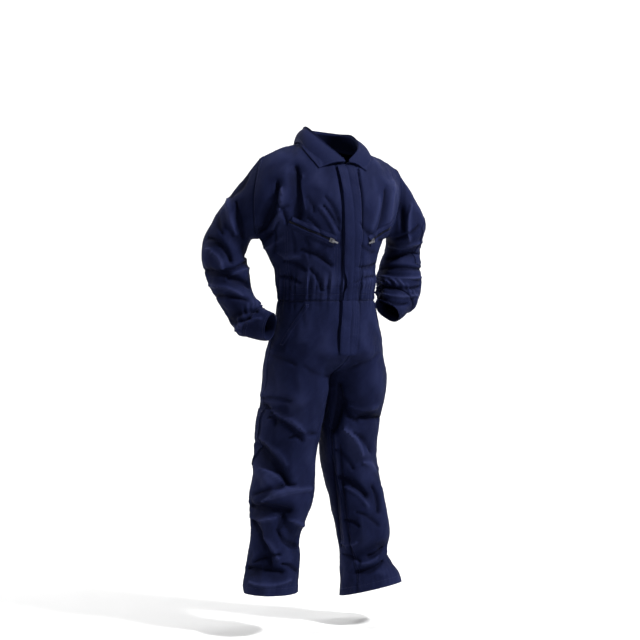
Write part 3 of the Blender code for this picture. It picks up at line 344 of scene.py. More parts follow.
    (-1, 0.020, -0.446, 0.100, -0.506, -0.008, 0.0060, -0.0030, 0.9),
    (-1, -0.030, -0.490, -0.096, -0.530, 0.006, 0.0060, 0.0016, 0.5),
    (-1, 0.030, -0.490, 0.092, -0.536, -0.006, 0.0060, 0.0016, 0.5),
    (-1, -0.134, -0.590, -0.050, -0.616, 0.008, 0.0060, -0.0028, 0.9),
    (-1, -0.128, -0.624, -0.046, -0.650, -0.006, 0.0055, 0.0020, 0.5),
    (-1, -0.134, -0.650, -0.056, -0.664, 0.006, 0.0060, -0.0030, 0.9),
    (-1, -0.130, -0.694, -0.064, -0.690, 0.005, 0.0055, -0.0020, 0.8),
    (-1, 0.110, -0.600, 0.036, -0.620, 0.006, 0.0060, -0.0026, 0.9),
    (-1, 0.108, -0.634, 0.034, -0.646, -0.006, 0.0055, 0.0020, 0.5),
    (-1, 0.112, -0.664, 0.044, -0.672, 0.006, 0.0060, -0.0028, 0.9),
    (-1, 0.108, -0.712, 0.050, -0.704, 0.005, 0.0055, -0.0018, 0.8),
    (-1, -0.140, -0.762, -0.080, -0.776, 0.006, 0.0055, -0.0022, 0.8),
    (-1, -0.144, -0.800, -0.080, -0.806, -0.005, 0.0055, -0.0026, 0.8),
    (-1, -0.146, -0.824, -0.078, -0.830, 0.005, 0.0050, 0.0018, 0.5),
    (-1, 0.120, -0.760, 0.056, -0.770, 0.006, 0.0055, -0.0022, 0.8),
    (-1, 0.122, -0.806, 0.056, -0.800, -0.005, 0.0055, -0.0026, 0.8),
    (-1, 0.118, -0.834, 0.056, -0.830, 0.005, 0.0050, 0.0018, 0.5),
)
CREASE_GAIN = 3.1        # share of the stated heights
CREASE_SHARP = 0.78      # share of the stated half widths
CREASE_BLUNT = 0.65      # half width at a crease's start, and how it grows
CREASE_BELLY = 0.5       # towards its middle and its end
CREASE_OPEN = 0.25
CRISP_SHARE = 0.6        # share of a crease's height that is its crisper line
CRISP_RATE = 2.2
CRISP_TIP = 0.35         # smaller is a sharper line
CREASE_LIMIT = 0.0060    # heights level off towards this where creases meet
CREASE_FADE = (-0.25, 0.35)          # facing at which a crease starts and is whole
FOLD_FADE = (0.0, 0.35)
# Slow swell of loose cloth between its creases: waves per metre along x, y, z, phase, height
RUMPLE = (
    (11.0, 8.0, 7.0, 0.4, 0.00070),
    (-13.0, 17.0, 9.0, 1.9, 0.00050),
    (24.0, -12.0, 11.0, 3.1, 0.00030),
    (-26.0, -21.0, 14.0, 4.4, 0.00020),
    (44.0, 21.0, -35.0, 5.2, 0.00014),
    (-38.0, 41.0, 47.0, 0.9, 0.00011),
)
RUMPLE_BEND = 1.3        # how far each wave is bent by the one before
# Waves of the gathered waist, round the body: waves per metre, phase, share
GATHERS = ((62.0, 0.6, 0.45), (91.0, 2.2, 0.35), (137.0, 4.0, 0.20))
GATHER_HEIGHT = 0.0030
GATHER_SWAY = (1.2, 40.0)            # how far and how fast the gathers wander
GATHER_ABOVE = 0.026     # the gathers die out over this much above the casing
GATHER_BELOW = 0.018     # and over this much below the waist seam,
GATHER_BELOW_SHARE = 0.35            # where they are this much as high
CASING_TOP = 0.026       # the elastic casing's upper stitch row above the waist seam
CASING_MIDDLE = 0.012
CASING_CALM = 0.45       # share of a gather's height lost between the casing's rows
CASING_SWELL = 0.0016    # loose cloth swells out above the casing
CASING_SWELL_HALF = 0.014
CASING_CHANNEL = 0.0005
WAIST_ROWS = (CASING_TOP, CASING_MIDDLE, 0.0012, -0.0016)

SEAM_GROOVE = 0.0011
SEAM_GROOVE_HALF = 0.0021
FELL = 0.0080            # width of a felled seam
FELL_STEP = 0.00035
FELL_ROUND = 0.0012
FELL_ROWS = (0.0016, 0.0068)         # topstitch rows beside a felled seam
PUCKER = 0.00042
PUCKER_REACH = 0.009
PUCKER_WAVES = (118.0, 83.0)         # puckers per metre of seam,
PUCKER_SWELL = 11.0                  # and slow changes in their height
PUCKER_START = 0.002     # they are whole from this far beside a seam
HEM_TURN = 0.016
HEM_STEP = 0.0005        # the turned hem stands out by this much
HEM_ROW = HEM_TURN - 0.002
CUFF_SWELL = 0.0030      # pleats above a cuff, their place, half width and count per metre
CUFF_SWELL_PLACE = 0.011
CUFF_SWELL_HALF = 0.009
CUFF_PLEATS = 75
CUFF_EDGE_ROW = 0.0035
NECK_FADE = 0.02         # share of a row over which the shoulder seam starts

# ---- Laid pieces: girth from the centre or side line, and height ----------------------------
PLACKET_FREE = -0.020
PLACKET_SEWN = 0.018
PLACKET_TOP = -0.0415
PLACKET_FOOT = -0.400
PLACKET_LIFT = 0.0016
PLACKET_WALL = 0.0014
PLACKET_ROWS = (0.0022, 0.0070)
FLAP_HOLLOW = 0.0022     # hollow in the cloth beside the flap's free edge
FLAP_HOLLOW_HALF = 0.0022
FLAP_HOLLOW_FADE = (0.003, 0.014)    # from the neckline down
FLAP_STAND = 0.0024      # the free edge stands off by this much more
FLAP_WAVES = ((11, 0.8, 0.45), (23, 2.0, 0.30))   # waves per metre, phase, share
# the fly's curved stitch rows: inset from the flap's sewn edge, top, length, sideways bend
FLY_INSET = 0.012
FLY_TOP = -0.318
FLY_LENGTH = 0.068
FLY_BEND = 0.017
FLY_GAP = 0.0045
ZIP_WALL = 0.0010
FRONT_ZIP_WALL = 0.0007
ZIP_LIFT = 0.0004
FRONT_ZIP_HALF = 0.006
FRONT_ZIP_TOP = -0.0435
FRONT_ZIP_FOOT = -0.385
CHEST_ZIP_INNER = (0.040, -0.184)
CHEST_ZIP_OUTER = (0.134, -0.146)
CHEST_ZIP_HALF = 0.0045
CHEST_TEETH_START = 0.10             # share of the zip under its slider, without teeth
CHEST_LIP = 0.0055
LIP_OVER = 0.0027        # the lips close over the tape by this much
LIP_RISE = 0.0013
LIP_GAP = 0.0003
CHEST_BAG_ROWS = (0.0, 0.0052)       # the chest pocket bags' rows, and where they end
CHEST_BAG_FOOT = -0.266
CHEST_BAG_INNER = (CHEST_ZIP_INNER[0] + 0.0006, -0.196, 60)   # girth, top, places in a row
CHEST_BAG_OUTER = (CHEST_ZIP_OUTER[0] + 0.001, -0.164, 80)
HIP_POCKET_TOP = (0.088, -0.304)
HIP_POCKET_FOOT = (0.138, -0.380)
HIP_POCKET_EDGE = 0.009
HIP_POCKET_ROWS = (0.18, 0.78)       # shares of the edge's width
RULE_POCKET = (0.004, 0.058, -0.508, -0.620)
RULE_POCKET_WALL = 0.0016
RULE_POCKET_ROWS = (0.0018, 0.0068)
RULE_POCKET_HEM = 0.012
SLEEVE_POCKET = (-0.044, 0.014, 0.062, 0.160)
SLEEVE_POCKET_ROWS = (0.0018, 0.0062)
SLEEVE_POCKET_HEM = 0.014
POCKET_CORNER = 0.009
CORNER_CUT = 0.8         # share of a full round that a corner loses
LAY_LIFT = 0.0004
LAY_WALL = 0.0012
FOLDED_EDGE = 0.0009     # radius of a turned edge
CHANNEL = 0.00030        # depth that a stitch row pulls the cloth in
CHANNEL_HALF = 0.0007

# ---- Collar ---------------------------------------------------------------------------------
COLLAR_WALL = 0.0014
COLLAR_CLEAR = 0.0024
COLLAR_CROWN = 0.005
COLLAR_INSET = 0.0016
COLLAR_FOOT = 0.006      # the stand is turned down inside the neckline by this much
FOLD_HALF = 0.0025
FOLD_DROP = 0.004
COLLAR_AXIS = (0.0, -0.02, 0.0)      # the collar faces away from this upright line
COLLAR_WAVES = ((5.0, 0.6, 0.6), (11.0, 2.0, 0.4))
COLLAR_WAVE = 0.0011
COLLAR_ROW = 0.0055
COLLAR_PUSH = 0.006      # the fall is moved out of the cloth by this much at the most
COLLAR_NEAR_Z = -0.09    # cloth above this is looked at for that
# from the right front end (-1) by the back (0) to the left front end (1):
# fold line x, y, z, then edge of the fall x, y, z
COLLAR = (
    (-1.00, -0.003, -0.084, -0.028, -0.058, -0.080, -0.048),
    (-0.85, -0.025, -0.070, -0.006, -0.069, -0.062, -0.026),
    (-0.50, -0.047, -0.012, 0.037, -0.068, -0.014, 0.007),
    (-0.25, -0.036, 0.024, 0.036, -0.048, 0.046, 0.004),
    (0.00, 0.002, 0.038, 0.034, 0.000, 0.074, 0.000),
    (0.25, 0.039, 0.022, 0.029, 0.048, 0.044, -0.002),
    (0.50, 0.051, -0.012, 0.024, 0.065, -0.014, -0.003),
    (0.85, 0.030, -0.071, -0.010, 0.066, -0.066, -0.030),
    (1.00, 0.006, -0.083, -0.029, 0.044, -0.080, -0.050),
)
COLLAR_COLUMNS = 160
COLLAR_STAND_ROWS = 14
COLLAR_FOLD_ROWS = 8
COLLAR_FALL_ROWS = 34

# ---- Thread and teeth -----------------------------------------------------------------------
STITCH_PITCH = 0.0031
STITCH_LENGTH = 0.0024
THREAD_HALF = 0.00026
# stitch rows by height or girth: first end, last end, places at which the row is worked out
BACK_SEAM_LINE = (-0.020, -0.440, 260)
FRONT_SEAM_LINE = (-0.402, -0.446, 40)
BODICE_SIDE_LINE = (-0.292, -0.186, 80)
CASING_LINE = (-0.128, 0.128, 240)
# rows down to a hem: first end, distance of the last end from the hem, places
OUTSEAM_LINE = (-0.303, 0.004, 330)
INSEAM_LINE = (-0.486, 0.012, 230)
# how far other rows stop short of their two ends
HEM_ENDS = (0.002, 0.002)
ARMHOLE_ENDS = (0.004, 0.006)
CUFF_ENDS = (0.001, 0.003)
# a stitch's section, across and up, and its stations: along it, size, lift
THREAD_RING = ((0.0, 1.0), (0.87, 0.5), (0.87, -0.5), (0.0, -1.0), (-0.87, -0.5), (-0.87, 0.5))
THREAD_STATIONS = ((-0.5, 0.35, -0.6), (-0.32, 1.0, 0.5), (0.32, 1.0, 0.5), (0.5, 0.35, -0.6))
THREAD_RISE = 0.0002     # a row on a laid piece sits this much above its wall
BARTACK_HALF = 0.0035
BARTACK_RISE = 0.0001    # and one on a thicker patch by this much more
BARTACK_THREADS = (-0.0004, 0.0, 0.0004, 0.0008)
TOOTH_PITCH = 0.00125
TOOTH_BREADTH = 1.3      # share of the pitch
TOOTH_REACH = 0.0019
TOOTH_HEIGHT = 0.0009

# ---- Colours --------------------------------------------------------------------------------
NAVY = (0.0050, 0.0070, 0.0260)
# lighter navy: worn threads, slubs and patches, and the painted highlight on the ridges
NAVY_WORN_AND_HIGHLIGHT = (0.0150, 0.0190, 0.0560)
# painted shade in the hollows of the cloth
NAVY_PAINTED_SHADE = (0.0007, 0.0011, 0.0055)
THREAD = (0.0085, 0.0110, 0.0400)
TAPE = (0.0026, 0.0032, 0.0100)
TEETH = (0.0022, 0.0027, 0.0075)
TWILL_PITCH = 0.0011
WEFT_PITCH = 0.0008
RIB_PITCH = 0.0009
TAPE_WORN = (0.0055, 0.0068, 0.0200)
TEETH_WORN = (0.0060, 0.0070, 0.0160)
NICKEL = (0.12, 0.12, 0.14)
NICKEL_DULL = (0.24, 0.24, 0.26)
FLOOR = (0.60, 0.60, 0.60)


# ---- Numbers --------------------------------------------------------------------------------
def smooth(x, low, high):
    """Smooth step from 0 at low to 1 at high."""
    t = np.clip((x - low) / (high - low), 0.0, 1.0)
    return t * t * (3.0 - 2.0 * t)


def bell(x, half):
    """Bell of height 1 and the given half width."""
    return np.exp(-(x / half) ** 2)


def read_table(rows, x):
    """Cubic curve through a table's rows: first column is the place, the rest are values."""
    table = np.array(sorted(rows), float)
    knots, values = table[:, 0], table[:, 1:]
    slopes = np.gradient(values, knots, axis=0)
    x = np.clip(np.asarray(x, float), knots[0], knots[-1])
    i = np.clip(np.searchsorted(knots, x) - 1, 0, len(knots) - 2)
    h = (knots[i + 1] - knots[i])[..., None]
    t = ((x - knots[i])[..., None]) / h
    a, b = values[i], values[i + 1]
    p = slopes[i] * h
    q = slopes[i + 1] * h
    return (a * (2 * t**3 - 3 * t**2 + 1) + p * (t**3 - 2 * t**2 + t)
            + b * (3 * t**2 - 2 * t**3) + q * (t**3 - t**2))


def steps(low, high, count, ends="both"):
    """Places from low to high, gathered towards the ends that are named."""
    start, stop = {"both": (0.0, 1.0), "low": (0.0, 0.5), "high": (0.5, 1.0)}[ends]
    x = np.linspace(start, stop, count + 1)
    place = x - CROWD * np.sin(2 * math.pi * x) / (2 * math.pi)
    place = (place - place[0]) / (place[-1] - place[0])
    return low + (high - low) * place


def unit(v):
    return v / np.maximum(np.linalg.norm(v, axis=-1, keepdims=True), 1e-12)


def travelled(line):
    """Distance along a line of points, from its first."""
    return np.concatenate([[0], np.cumsum(np.linalg.norm(np.diff(line, axis=0), axis=1))])


def read_line(place, travel, line):
    """Values of a line at places along it."""
    return np.stack([np.interp(place, travel, column) for column in line.T], -1)


def summed(numbers, vectors, count):
    """Sum of the vectors that fall on each numbered point."""
    return np.stack([np.bincount(numbers, column, count) for column in vectors.T], -1)


def from_view(across, depth, z):
    """Point given in the three-quarter direction, as x, y, z."""
    x = across * math.cos(VIEW_TURN) + depth * math.sin(VIEW_TURN)
    y = -across * math.sin(VIEW_TURN) + depth * math.cos(VIEW_TURN)
    return np.stack(np.broadcast_arrays(x, y, z), -1)


def across_view(points):
    """Distance to the right in the three-quarter direction."""
    return points[..., 0] * math.cos(VIEW_TURN) - points[..., 1] * math.sin(VIEW_TURN)


def facing_view(normals):
    """1 where cloth faces the three-quarter direction, -1 where it faces away from it."""
    return -(normals[..., 0] * math.sin(VIEW_TURN) + normals[..., 1] * math.cos(VIEW_TURN))


# ---- The suit's form ------------------------------------------------------------------------
def top_line(side, face, s):
    """Neckline, then shoulder seam, for s from the centre (0) to the shoulder tip (1)."""
    centre = np.array(NECK_FRONT if face == FRONT else NECK_BACK)
    corner = np.array(NECK_SIDE[side])
    tip = np.array(SHOULDER_TIP[side])
    q = np.clip(s / NECK_SHARE, 0, 1) * math.pi / 2
    neck = np.stack([corner[0] * np.sin(q),
                     corner[1] + (centre[1] - corner[1]) * np.cos(q),
                     corner[2] + (centre[2] - corner[2]) * (1 - np.sin(q) ** NECK_DIP)], -1)
    r = np.clip((s - NECK_SHARE) / (1 - NECK_SHARE), 0, 1)[..., None]
    seam = corner + (tip - corner) * r
    seam[..., 2] += SHOULDER_ARCH * np.sin(math.pi * r[..., 0])
    return np.where((s <= NECK_SHARE)[..., None], neck, seam)


def armhole(side, face, t):
    """Side seam up to the armpit, then one half of the armhole up to the shoulder tip."""
    z_low = WAIST_Z + (BODICE_SIDE[-1][0] - WAIST_Z) * np.clip(t / ARMPIT_SHARE, 0, 1)
    low = read_table(BODICE_SIDE, z_low)
    x_low = low[..., 0 if side == RIGHT else 1]
    seam = np.stack([x_low, low[..., 2], z_low], -1)
    last = BODICE_SIDE[-1]
    pit = np.array((last[1 if side == RIGHT else 2], last[3], last[0]))
    tip = np.array(SHOULDER_TIP[side])
    angle = math.pi * np.clip((t - ARMPIT_SHARE) / (1 - ARMPIT_SHARE), 0, 1)[..., None]
    bow = np.array(ARMHOLE_BOW[side, face] + (0.0,))
    loop = (pit + tip) / 2 + (tip - pit) / 2 * -np.cos(angle) + bow * np.sin(angle)
    return np.where((t <= ARMPIT_SHARE)[..., None], seam, loop)


def bodice(side, face, s, t):
    """Quarter of the bodice: s from centre to side, t from waist to shoulder.

    Each row is a quarter ellipse from the centre line to the side seam or armhole, and the
    upper rows round over towards the neckline and the shoulder seam.
    """
    s, t = np.broadcast_arrays(s, t)
    rate = (math.pi / 2) / (1 - TURN_ROW)
    low_share = rate / (1 / TURN_ROW + rate)
    over = np.clip((t - TURN_ROW) / (1 - TURN_ROW), 0, 1) * math.pi / 2
    rise = np.where(t < TURN_ROW, t * low_share / TURN_ROW,
                    low_share + (1 - low_share) * np.sin(over))
    edge = armhole(side, face, t)
    top = top_line(side, face, s)
    tip_z = SHOULDER_TIP[side][2]
    edge_rise = (edge[..., 2] - WAIST_Z) / (tip_z - WAIST_Z)
    z = WAIST_Z + (top[..., 2] - WAIST_Z) * (rise + (edge_rise - rise) * s**2)
    centre = read_table(BODICE_CENTRE, t)
    depth = centre[..., 1 if face == FRONT else 2]
    x = centre[..., 0] + (edge[..., 0] - centre[..., 0]) * np.sin(s * math.pi / 2)
    y = edge[..., 1] + (depth - edge[..., 1]) * np.cos(s * math.pi / 2)
    pull = 1 - np.cos(over)
    x = x + (top[..., 0] - x) * pull
    y = y + (top[..., 1] - y) * pull
    return np.stack([x, y, z], -1)


def trouser(side, face, s, t):
    """Quarter of the trousers: s from centre seam or inseam to side seam, t from waist to hem.

    A row is a quarter ellipse at the hips and half a leg's ellipse below the crotch, and the
    two are blended above the crotch, which curves the centre seam under.
    """
    s, t = np.broadcast_arrays(s, t)
    share = CROTCH_SHARE
    z = np.where(t < share, WAIST_Z + (CROTCH_Z - WAIST_Z) * t / share,
                 CROTCH_Z + (HEM_Z[side] - CROTCH_Z) * (t - share) / (1 - share))
    hip = read_table(HIPS, z)
    side_x = hip[..., 1 if side == RIGHT else 2]
    depth = hip[..., 4 if face == FRONT else 5]
    hip_x = hip[..., 0] + (side_x - hip[..., 0]) * np.sin(s * math.pi / 2)
    hip_y = hip[..., 3] + (depth - hip[..., 3]) * np.cos(s * math.pi / 2)
    leg = read_table(LEGS[side], z)
    turn = np.radians(leg[..., 4]) * side
    angle = s * math.pi
    out_x = -side * leg[..., 2] * np.cos(angle)
    out_y = face * leg[..., 3] * np.sin(angle)
    leg_x = leg[..., 0] + out_x * np.cos(turn) - out_y * np.sin(turn)
    leg_y = leg[..., 1] + out_x * np.sin(turn) + out_y * np.cos(turn)
    inner_x = leg[..., 0] - side * leg[..., 2]
    above = (t <= share + 1e-9)
    leg_x = leg_x + np.where(above, (hip[..., 0] - inner_x) * (1 - s) ** 3, 0)
    blend = smooth(z, SEAT_Z + SEAT_RISE * s, CROTCH_Z)
    x = hip_x + (leg_x - hip_x) * blend
    y = hip_y + (leg_y - hip_y) * blend
    toe = np.stack([np.sin(turn), -np.cos(turn)], -1)
    forward = (x - leg[..., 0]) * toe[..., 0] + (y - leg[..., 1]) * toe[..., 1]
    z = z + forward * HEM_RISE[side] * smooth(z, HEM_TILT_Z, HEM_Z[side])
    return np.stack([x, y, z], -1)


def sleeve(side, around, along):
    """Sleeve tube: around in turns from the underarm by the front, along from 0 to 1.

    Rings are ellipses across a curved path. The head of the sleeve runs from the armhole
    to the first full ring, point by point, and leaves it along the path.
    """
    around, along = np.broadcast_arrays(around, along)
    rows = SLEEVES[side]
    centres = from_view(*[np.array([row[i] for row in rows]) for i in range(3)])
    travel = travelled(centres)
    table = [(p, *c, row[3], row[4]) for p, c, row in zip(travel / travel[-1], centres, rows)]
    beyond = np.maximum(along, SLEEVE_HEAD)
    value = read_table(table, beyond)
    ahead = read_table(table, beyond + PATH_STEP)[..., :3]
    behind = read_table(table, beyond - PATH_STEP)[..., :3]
    path = unit(ahead - behind)
    front = np.array(SLEEVE_FRONT[side])
    front = unit(front - path * (path @ front)[..., None])
    outer = np.cross(path, front) * -side
    angle = 2 * math.pi * around[..., None]
    ring = (value[..., :3] - outer * value[..., 3:4] * np.cos(angle)
            + front * value[..., 4:5] * np.sin(angle))
    up_front = ARMPIT_SHARE + (1 - ARMPIT_SHARE) * np.clip(around * 2, 0, 1)
    up_back = ARMPIT_SHARE + (1 - ARMPIT_SHARE) * np.clip(2 - around * 2, 0, 1)
    first = np.where((around <= 0.5)[..., None],
                     bodice(side, FRONT, np.ones_like(around), up_front),
                     bodice(side, BACK, np.ones_like(around), up_back))
    k = np.clip(along / SLEEVE_HEAD, 0, 1)[..., None]
    reach = np.linalg.norm(ring - first, axis=-1, keepdims=True)
    head = (first + (ring - first) * (k + k**2 - k**3) + path * reach * (k**3 - k**2))
    return np.where(k < 1, head, ring)


# ---- Relief of the skin ---------------------------------------------------------------------
def crease_height(points, normals):
    """Sum of the finer creases. Each is a soft ridge or trough along a bowed line.

    Its profile is a bell with a crisper line along its middle. It leans to one side, by
    adding its own slope, and tapers towards its ends. It shows only on cloth that faces its
    side of the suit.
    """
    across, z, facing = across_view(points), points[..., 2], facing_view(normals)
    height = np.zeros(across.shape)
    for face, a0, z0, a1, z1, bow, width, rise, lean in CREASES:
        run = np.array([a1 - a0, z1 - z0])
        length = np.hypot(*run)
        way = run / length
        along = ((across - a0) * way[0] + (z - z0) * way[1]) / length
        near = np.clip(along, 0, 1)
        beside = (z - z0) * way[0] - (across - a0) * way[1] - 4 * bow * near * (1 - near)
        spread = CREASE_SHARP * width * (CREASE_BLUNT + CREASE_BELLY * np.sin(math.pi * near)
                                         + CREASE_OPEN * near)
        away = np.hypot(beside, (along - near) * length) / spread
        crisp = np.exp(CRISP_TIP - np.sqrt(CRISP_TIP**2 + (CRISP_RATE * away) ** 2))
        profile = (1 - CRISP_SHARE) * bell(away, 1.0) + CRISP_SHARE * crisp
        height += (CREASE_GAIN * rise * profile * (1 + lean * beside / spread)
                   * smooth(facing * face, *CREASE_FADE))
    return CREASE_LIMIT * np.tanh(height / CREASE_LIMIT)


def fold_height(points, normals):
    """The largest folds, which the solids share: bells beside straight lines."""
    across, z, facing = across_view(points), points[..., 2], facing_view(normals)
    height = np.zeros(across.shape)
    for face, a0, z0, a1, z1, width, rise in FOLDS:
        run = np.array([a1 - a0, z1 - z0])
        share = ((across - a0) * run[0] + (z - z0) * run[1]) / (run @ run)
        near = np.clip(share, 0, 1)
        away = np.hypot(across - a0 - near * run[0], z - z0 - near * run[1])
        height += rise * bell(away, width) * smooth(facing * face, *FOLD_FADE)
    return height


def rumple_height(points):
    """Slow uneven swell: a sum of plane waves, each bent by the one before."""
    height = np.zeros(points.shape[:-1])
    bend = np.zeros(points.shape[:-1])
    for kx, ky, kz, phase, rise in RUMPLE:
        wave = 2 * math.pi * (points @ np.array([kx, ky, kz])) + phase + RUMPLE_BEND * bend
        bend = np.sin(wave)
        height += rise * bend
    return height


def pucker_height(away, along, phase):
    """Short uneven waves across a seam that die out beside it."""
    first, second = PUCKER_WAVES
    wave = (np.sin(2 * math.pi * first * along + phase)
            + 0.7 * np.sin(2 * math.pi * second * along + 2.1 * phase))
    slow = 0.6 + 0.4 * np.sin(2 * math.pi * PUCKER_SWELL * along + 1.7 * phase)
    return (PUCKER * wave * slow * np.exp(-away / PUCKER_REACH)
            * smooth(away, 0.0, PUCKER_START))


def stitch_channels(away, rows):
    """Hollows along stitch rows at the given distances from an edge or a seam."""
    return -CHANNEL * sum(bell(away - row, CHANNEL_HALF) for row in rows)


def seam_groove(away):
    return -SEAM_GROOVE * bell(away, SEAM_GROOVE_HALF)


def seam_height(away, along, phase, felled):
    """Seam line as a groove, puckers beside it, and a raised fell with its stitch channels."""
    height = seam_groove(away) + pucker_height(away, along, phase)
    if felled:
        height += (FELL_STEP * (1 - smooth(away, FELL - FELL_ROUND, FELL))
                   * smooth(away, 0, FELL_ROUND)) + stitch_channels(away, FELL_ROWS)
    return height


def gather_height(girth, rise):
    """Uneven gathers of the elastic waist, strongest at its stitch rows' edges."""
    far, fast = GATHER_SWAY
    wave = sum(share * np.sin(2 * math.pi * rate * girth + phase + far * np.sin(fast * girth))
               for rate, phase, share in GATHERS)
    above = (bell(np.maximum(rise - CASING_TOP, 0), GATHER_ABOVE)
             * smooth(rise, -0.001, 0.004))
    below = bell(np.minimum(rise, 0), GATHER_BELOW) * smooth(-rise, -0.001, 0.004)
    casing = 1 - CASING_CALM * (1 - smooth(np.abs(rise - CASING_MIDDLE), 0.006, 0.015))
    swell = CASING_SWELL * bell(rise - CASING_TOP - CASING_SWELL_HALF, CASING_SWELL_HALF)
    rows = sum(bell(rise - row, CHANNEL_HALF * 1.6) for row in (CASING_TOP, CASING_MIDDLE))
    return (GATHER_HEIGHT * wave * (above + GATHER_BELOW_SHARE * below) * casing + swell
            - CASING_CHANNEL * rows)


# ---- Skin: fine grids that share their seam points ------------------------------------------
def cell_normals(points, quads):
    """Normals of a quad mesh's cells, as long as twice their areas."""
    return np.cross(points[quads[..., 2]] - points[quads[..., 0]],
                    points[quads[..., 3]] - points[quads[..., 1]])


def vertex_normals(points, quads):
    """Area-weighted normals at the points of a quad mesh."""
    normal = cell_normals(points, quads)
    return unit(sum(summed(quads[:, corner], normal, len(points)) for corner in range(4)))


def corners_of(grid):
    """The four corners of every cell of a grid, in order round the cell."""
    return np.stack([grid[:-1, :-1], grid[:-1, 1:], grid[1:, 1:], grid[1:, :-1]], 2)


def lengths(points, axis):
    """Distance travelled along one axis of a grid, from its first line."""
    hop = np.linalg.norm(np.diff(points, axis=axis), axis=2)
    start = np.zeros_like(np.take(hop, [0], axis))
    return np.concatenate([start, np.cumsum(hop, axis)], axis)


def make_grids():
    """Every grid of the smooth form, by kind, side and face."""
    s = steps(0, 1, HALF_COLUMNS)[None, :]
    low = steps(0, ARMPIT_SHARE, BODICE_LOW_ROWS, "low")
    high = steps(ARMPIT_SHARE, 1, BODICE_HIGH_ROWS, "high")
    bodice_t = np.concatenate([low, high[1:]])[:, None]
    hips = steps(0, CROTCH_SHARE, HIP_ROWS, "low")
    legs = steps(CROTCH_SHARE, 1, LEG_ROWS, "high")
    trouser_t = np.concatenate([hips, legs[1:]])[:, None]
    half_turn = (high - ARMPIT_SHARE) / (1 - ARMPIT_SHARE) / 2
    around = np.concatenate([half_turn, 1 - half_turn[-2::-1]])[None, :]
    arm = steps(0, CUFF_SHARE, SLEEVE_ROWS)
    cuff = steps(CUFF_SHARE, 1, CUFF_ROWS)
    along = np.concatenate([arm, cuff[1:]])[:, None]
    grids = {}
    for side in (RIGHT, LEFT):
        for face in (FRONT, BACK):
            grids["bodice", side, face] = bodice(side, face, s, bodice_t)
            grids["trouser", side, face] = trouser(side, face, s, trouser_t)
        grids["sleeve", side, 0] = sleeve(side, around, along)
    return grids


def flap_hollow(girth, side):
    """Narrow hollow in the front beside an edge of the flap: deeper beside its free edge."""
    edge, depth = (-PLACKET_FREE, FLAP_HOLLOW) if side == RIGHT else (PLACKET_SEWN,
                                                                     FLAP_HOLLOW / 2)
    return -depth * bell(girth - edge - FLAP_HOLLOW_HALF * 1.3, FLAP_HOLLOW_HALF)


def grid_relief(name, grid):
    """Height of seams, gathers, hems and cuffs on one grid of the smooth form."""
    kind, side, face = name
    across = lengths(grid, 1)
    down = lengths(grid, 0)
    from_side = across[:, -1:] - across
    from_end = down[-1:] - down
    phase = 1.7 * side + 0.9 * face
    if kind == "bodice":
        seam = seam_height(from_side, down, phase, face == BACK)
        seam[BODICE_LOW_ROWS:] = seam_height(from_side, down, phase, True)[BODICE_LOW_ROWS:]
        top = seam_height(from_end, across, phase, face == BACK)
        shoulder = smooth(across / across[:, -1:], NECK_SHARE - NECK_FADE,
                          NECK_SHARE + NECK_FADE)
        height = seam + top * shoulder + gather_height(across * side + 0.2 * face, down)
        if face == FRONT:
            height += flap_hollow(across, side) * smooth(from_end, *FLAP_HOLLOW_FADE)
            height += seam_groove(across)
        return height + seam_groove(down)
    if kind == "trouser":
        height = seam_height(from_side, down, phase, face == BACK)
        height += seam_height(across, down, phase + 1.0, face == FRONT)
        height += gather_height(across * side + 0.2 * face, -down) + seam_groove(down)
        if face == FRONT:
            height += flap_hollow(across, side) * smooth(WAIST_Z - PLACKET_FOOT - down, 0, 0.02)
        height += HEM_STEP * (1 - smooth(from_end, HEM_TURN - 0.001, HEM_TURN + 0.001))
        height += 1.5 * stitch_channels(from_end, (HEM_ROW,))
        return height + pucker_height(np.abs(from_end - HEM_TURN), across, 2.0) * 1.6
    height = seam_height(down, across, phase, False)
    under = np.minimum(across, across[:, -1:] - across)
    height += seam_height(under, down, phase, False)
    to_cuff = down - down[SLEEVE_ROWS:SLEEVE_ROWS + 1]
    pleats = 1 + 0.5 * np.sin(2 * math.pi * CUFF_PLEATS * across + 2 * np.sin(50 * across))
    height += (CUFF_SWELL * pleats * bell(to_cuff + CUFF_SWELL_PLACE, CUFF_SWELL_HALF)
               * (to_cuff < 0))
    height += 1.4 * seam_groove(to_cuff) + stitch_channels(to_cuff, FELL_ROWS)
    height += stitch_channels(from_end, (CUFF_EDGE_ROW,))
    return height + pucker_height(np.abs(to_cuff), across, 0.7)


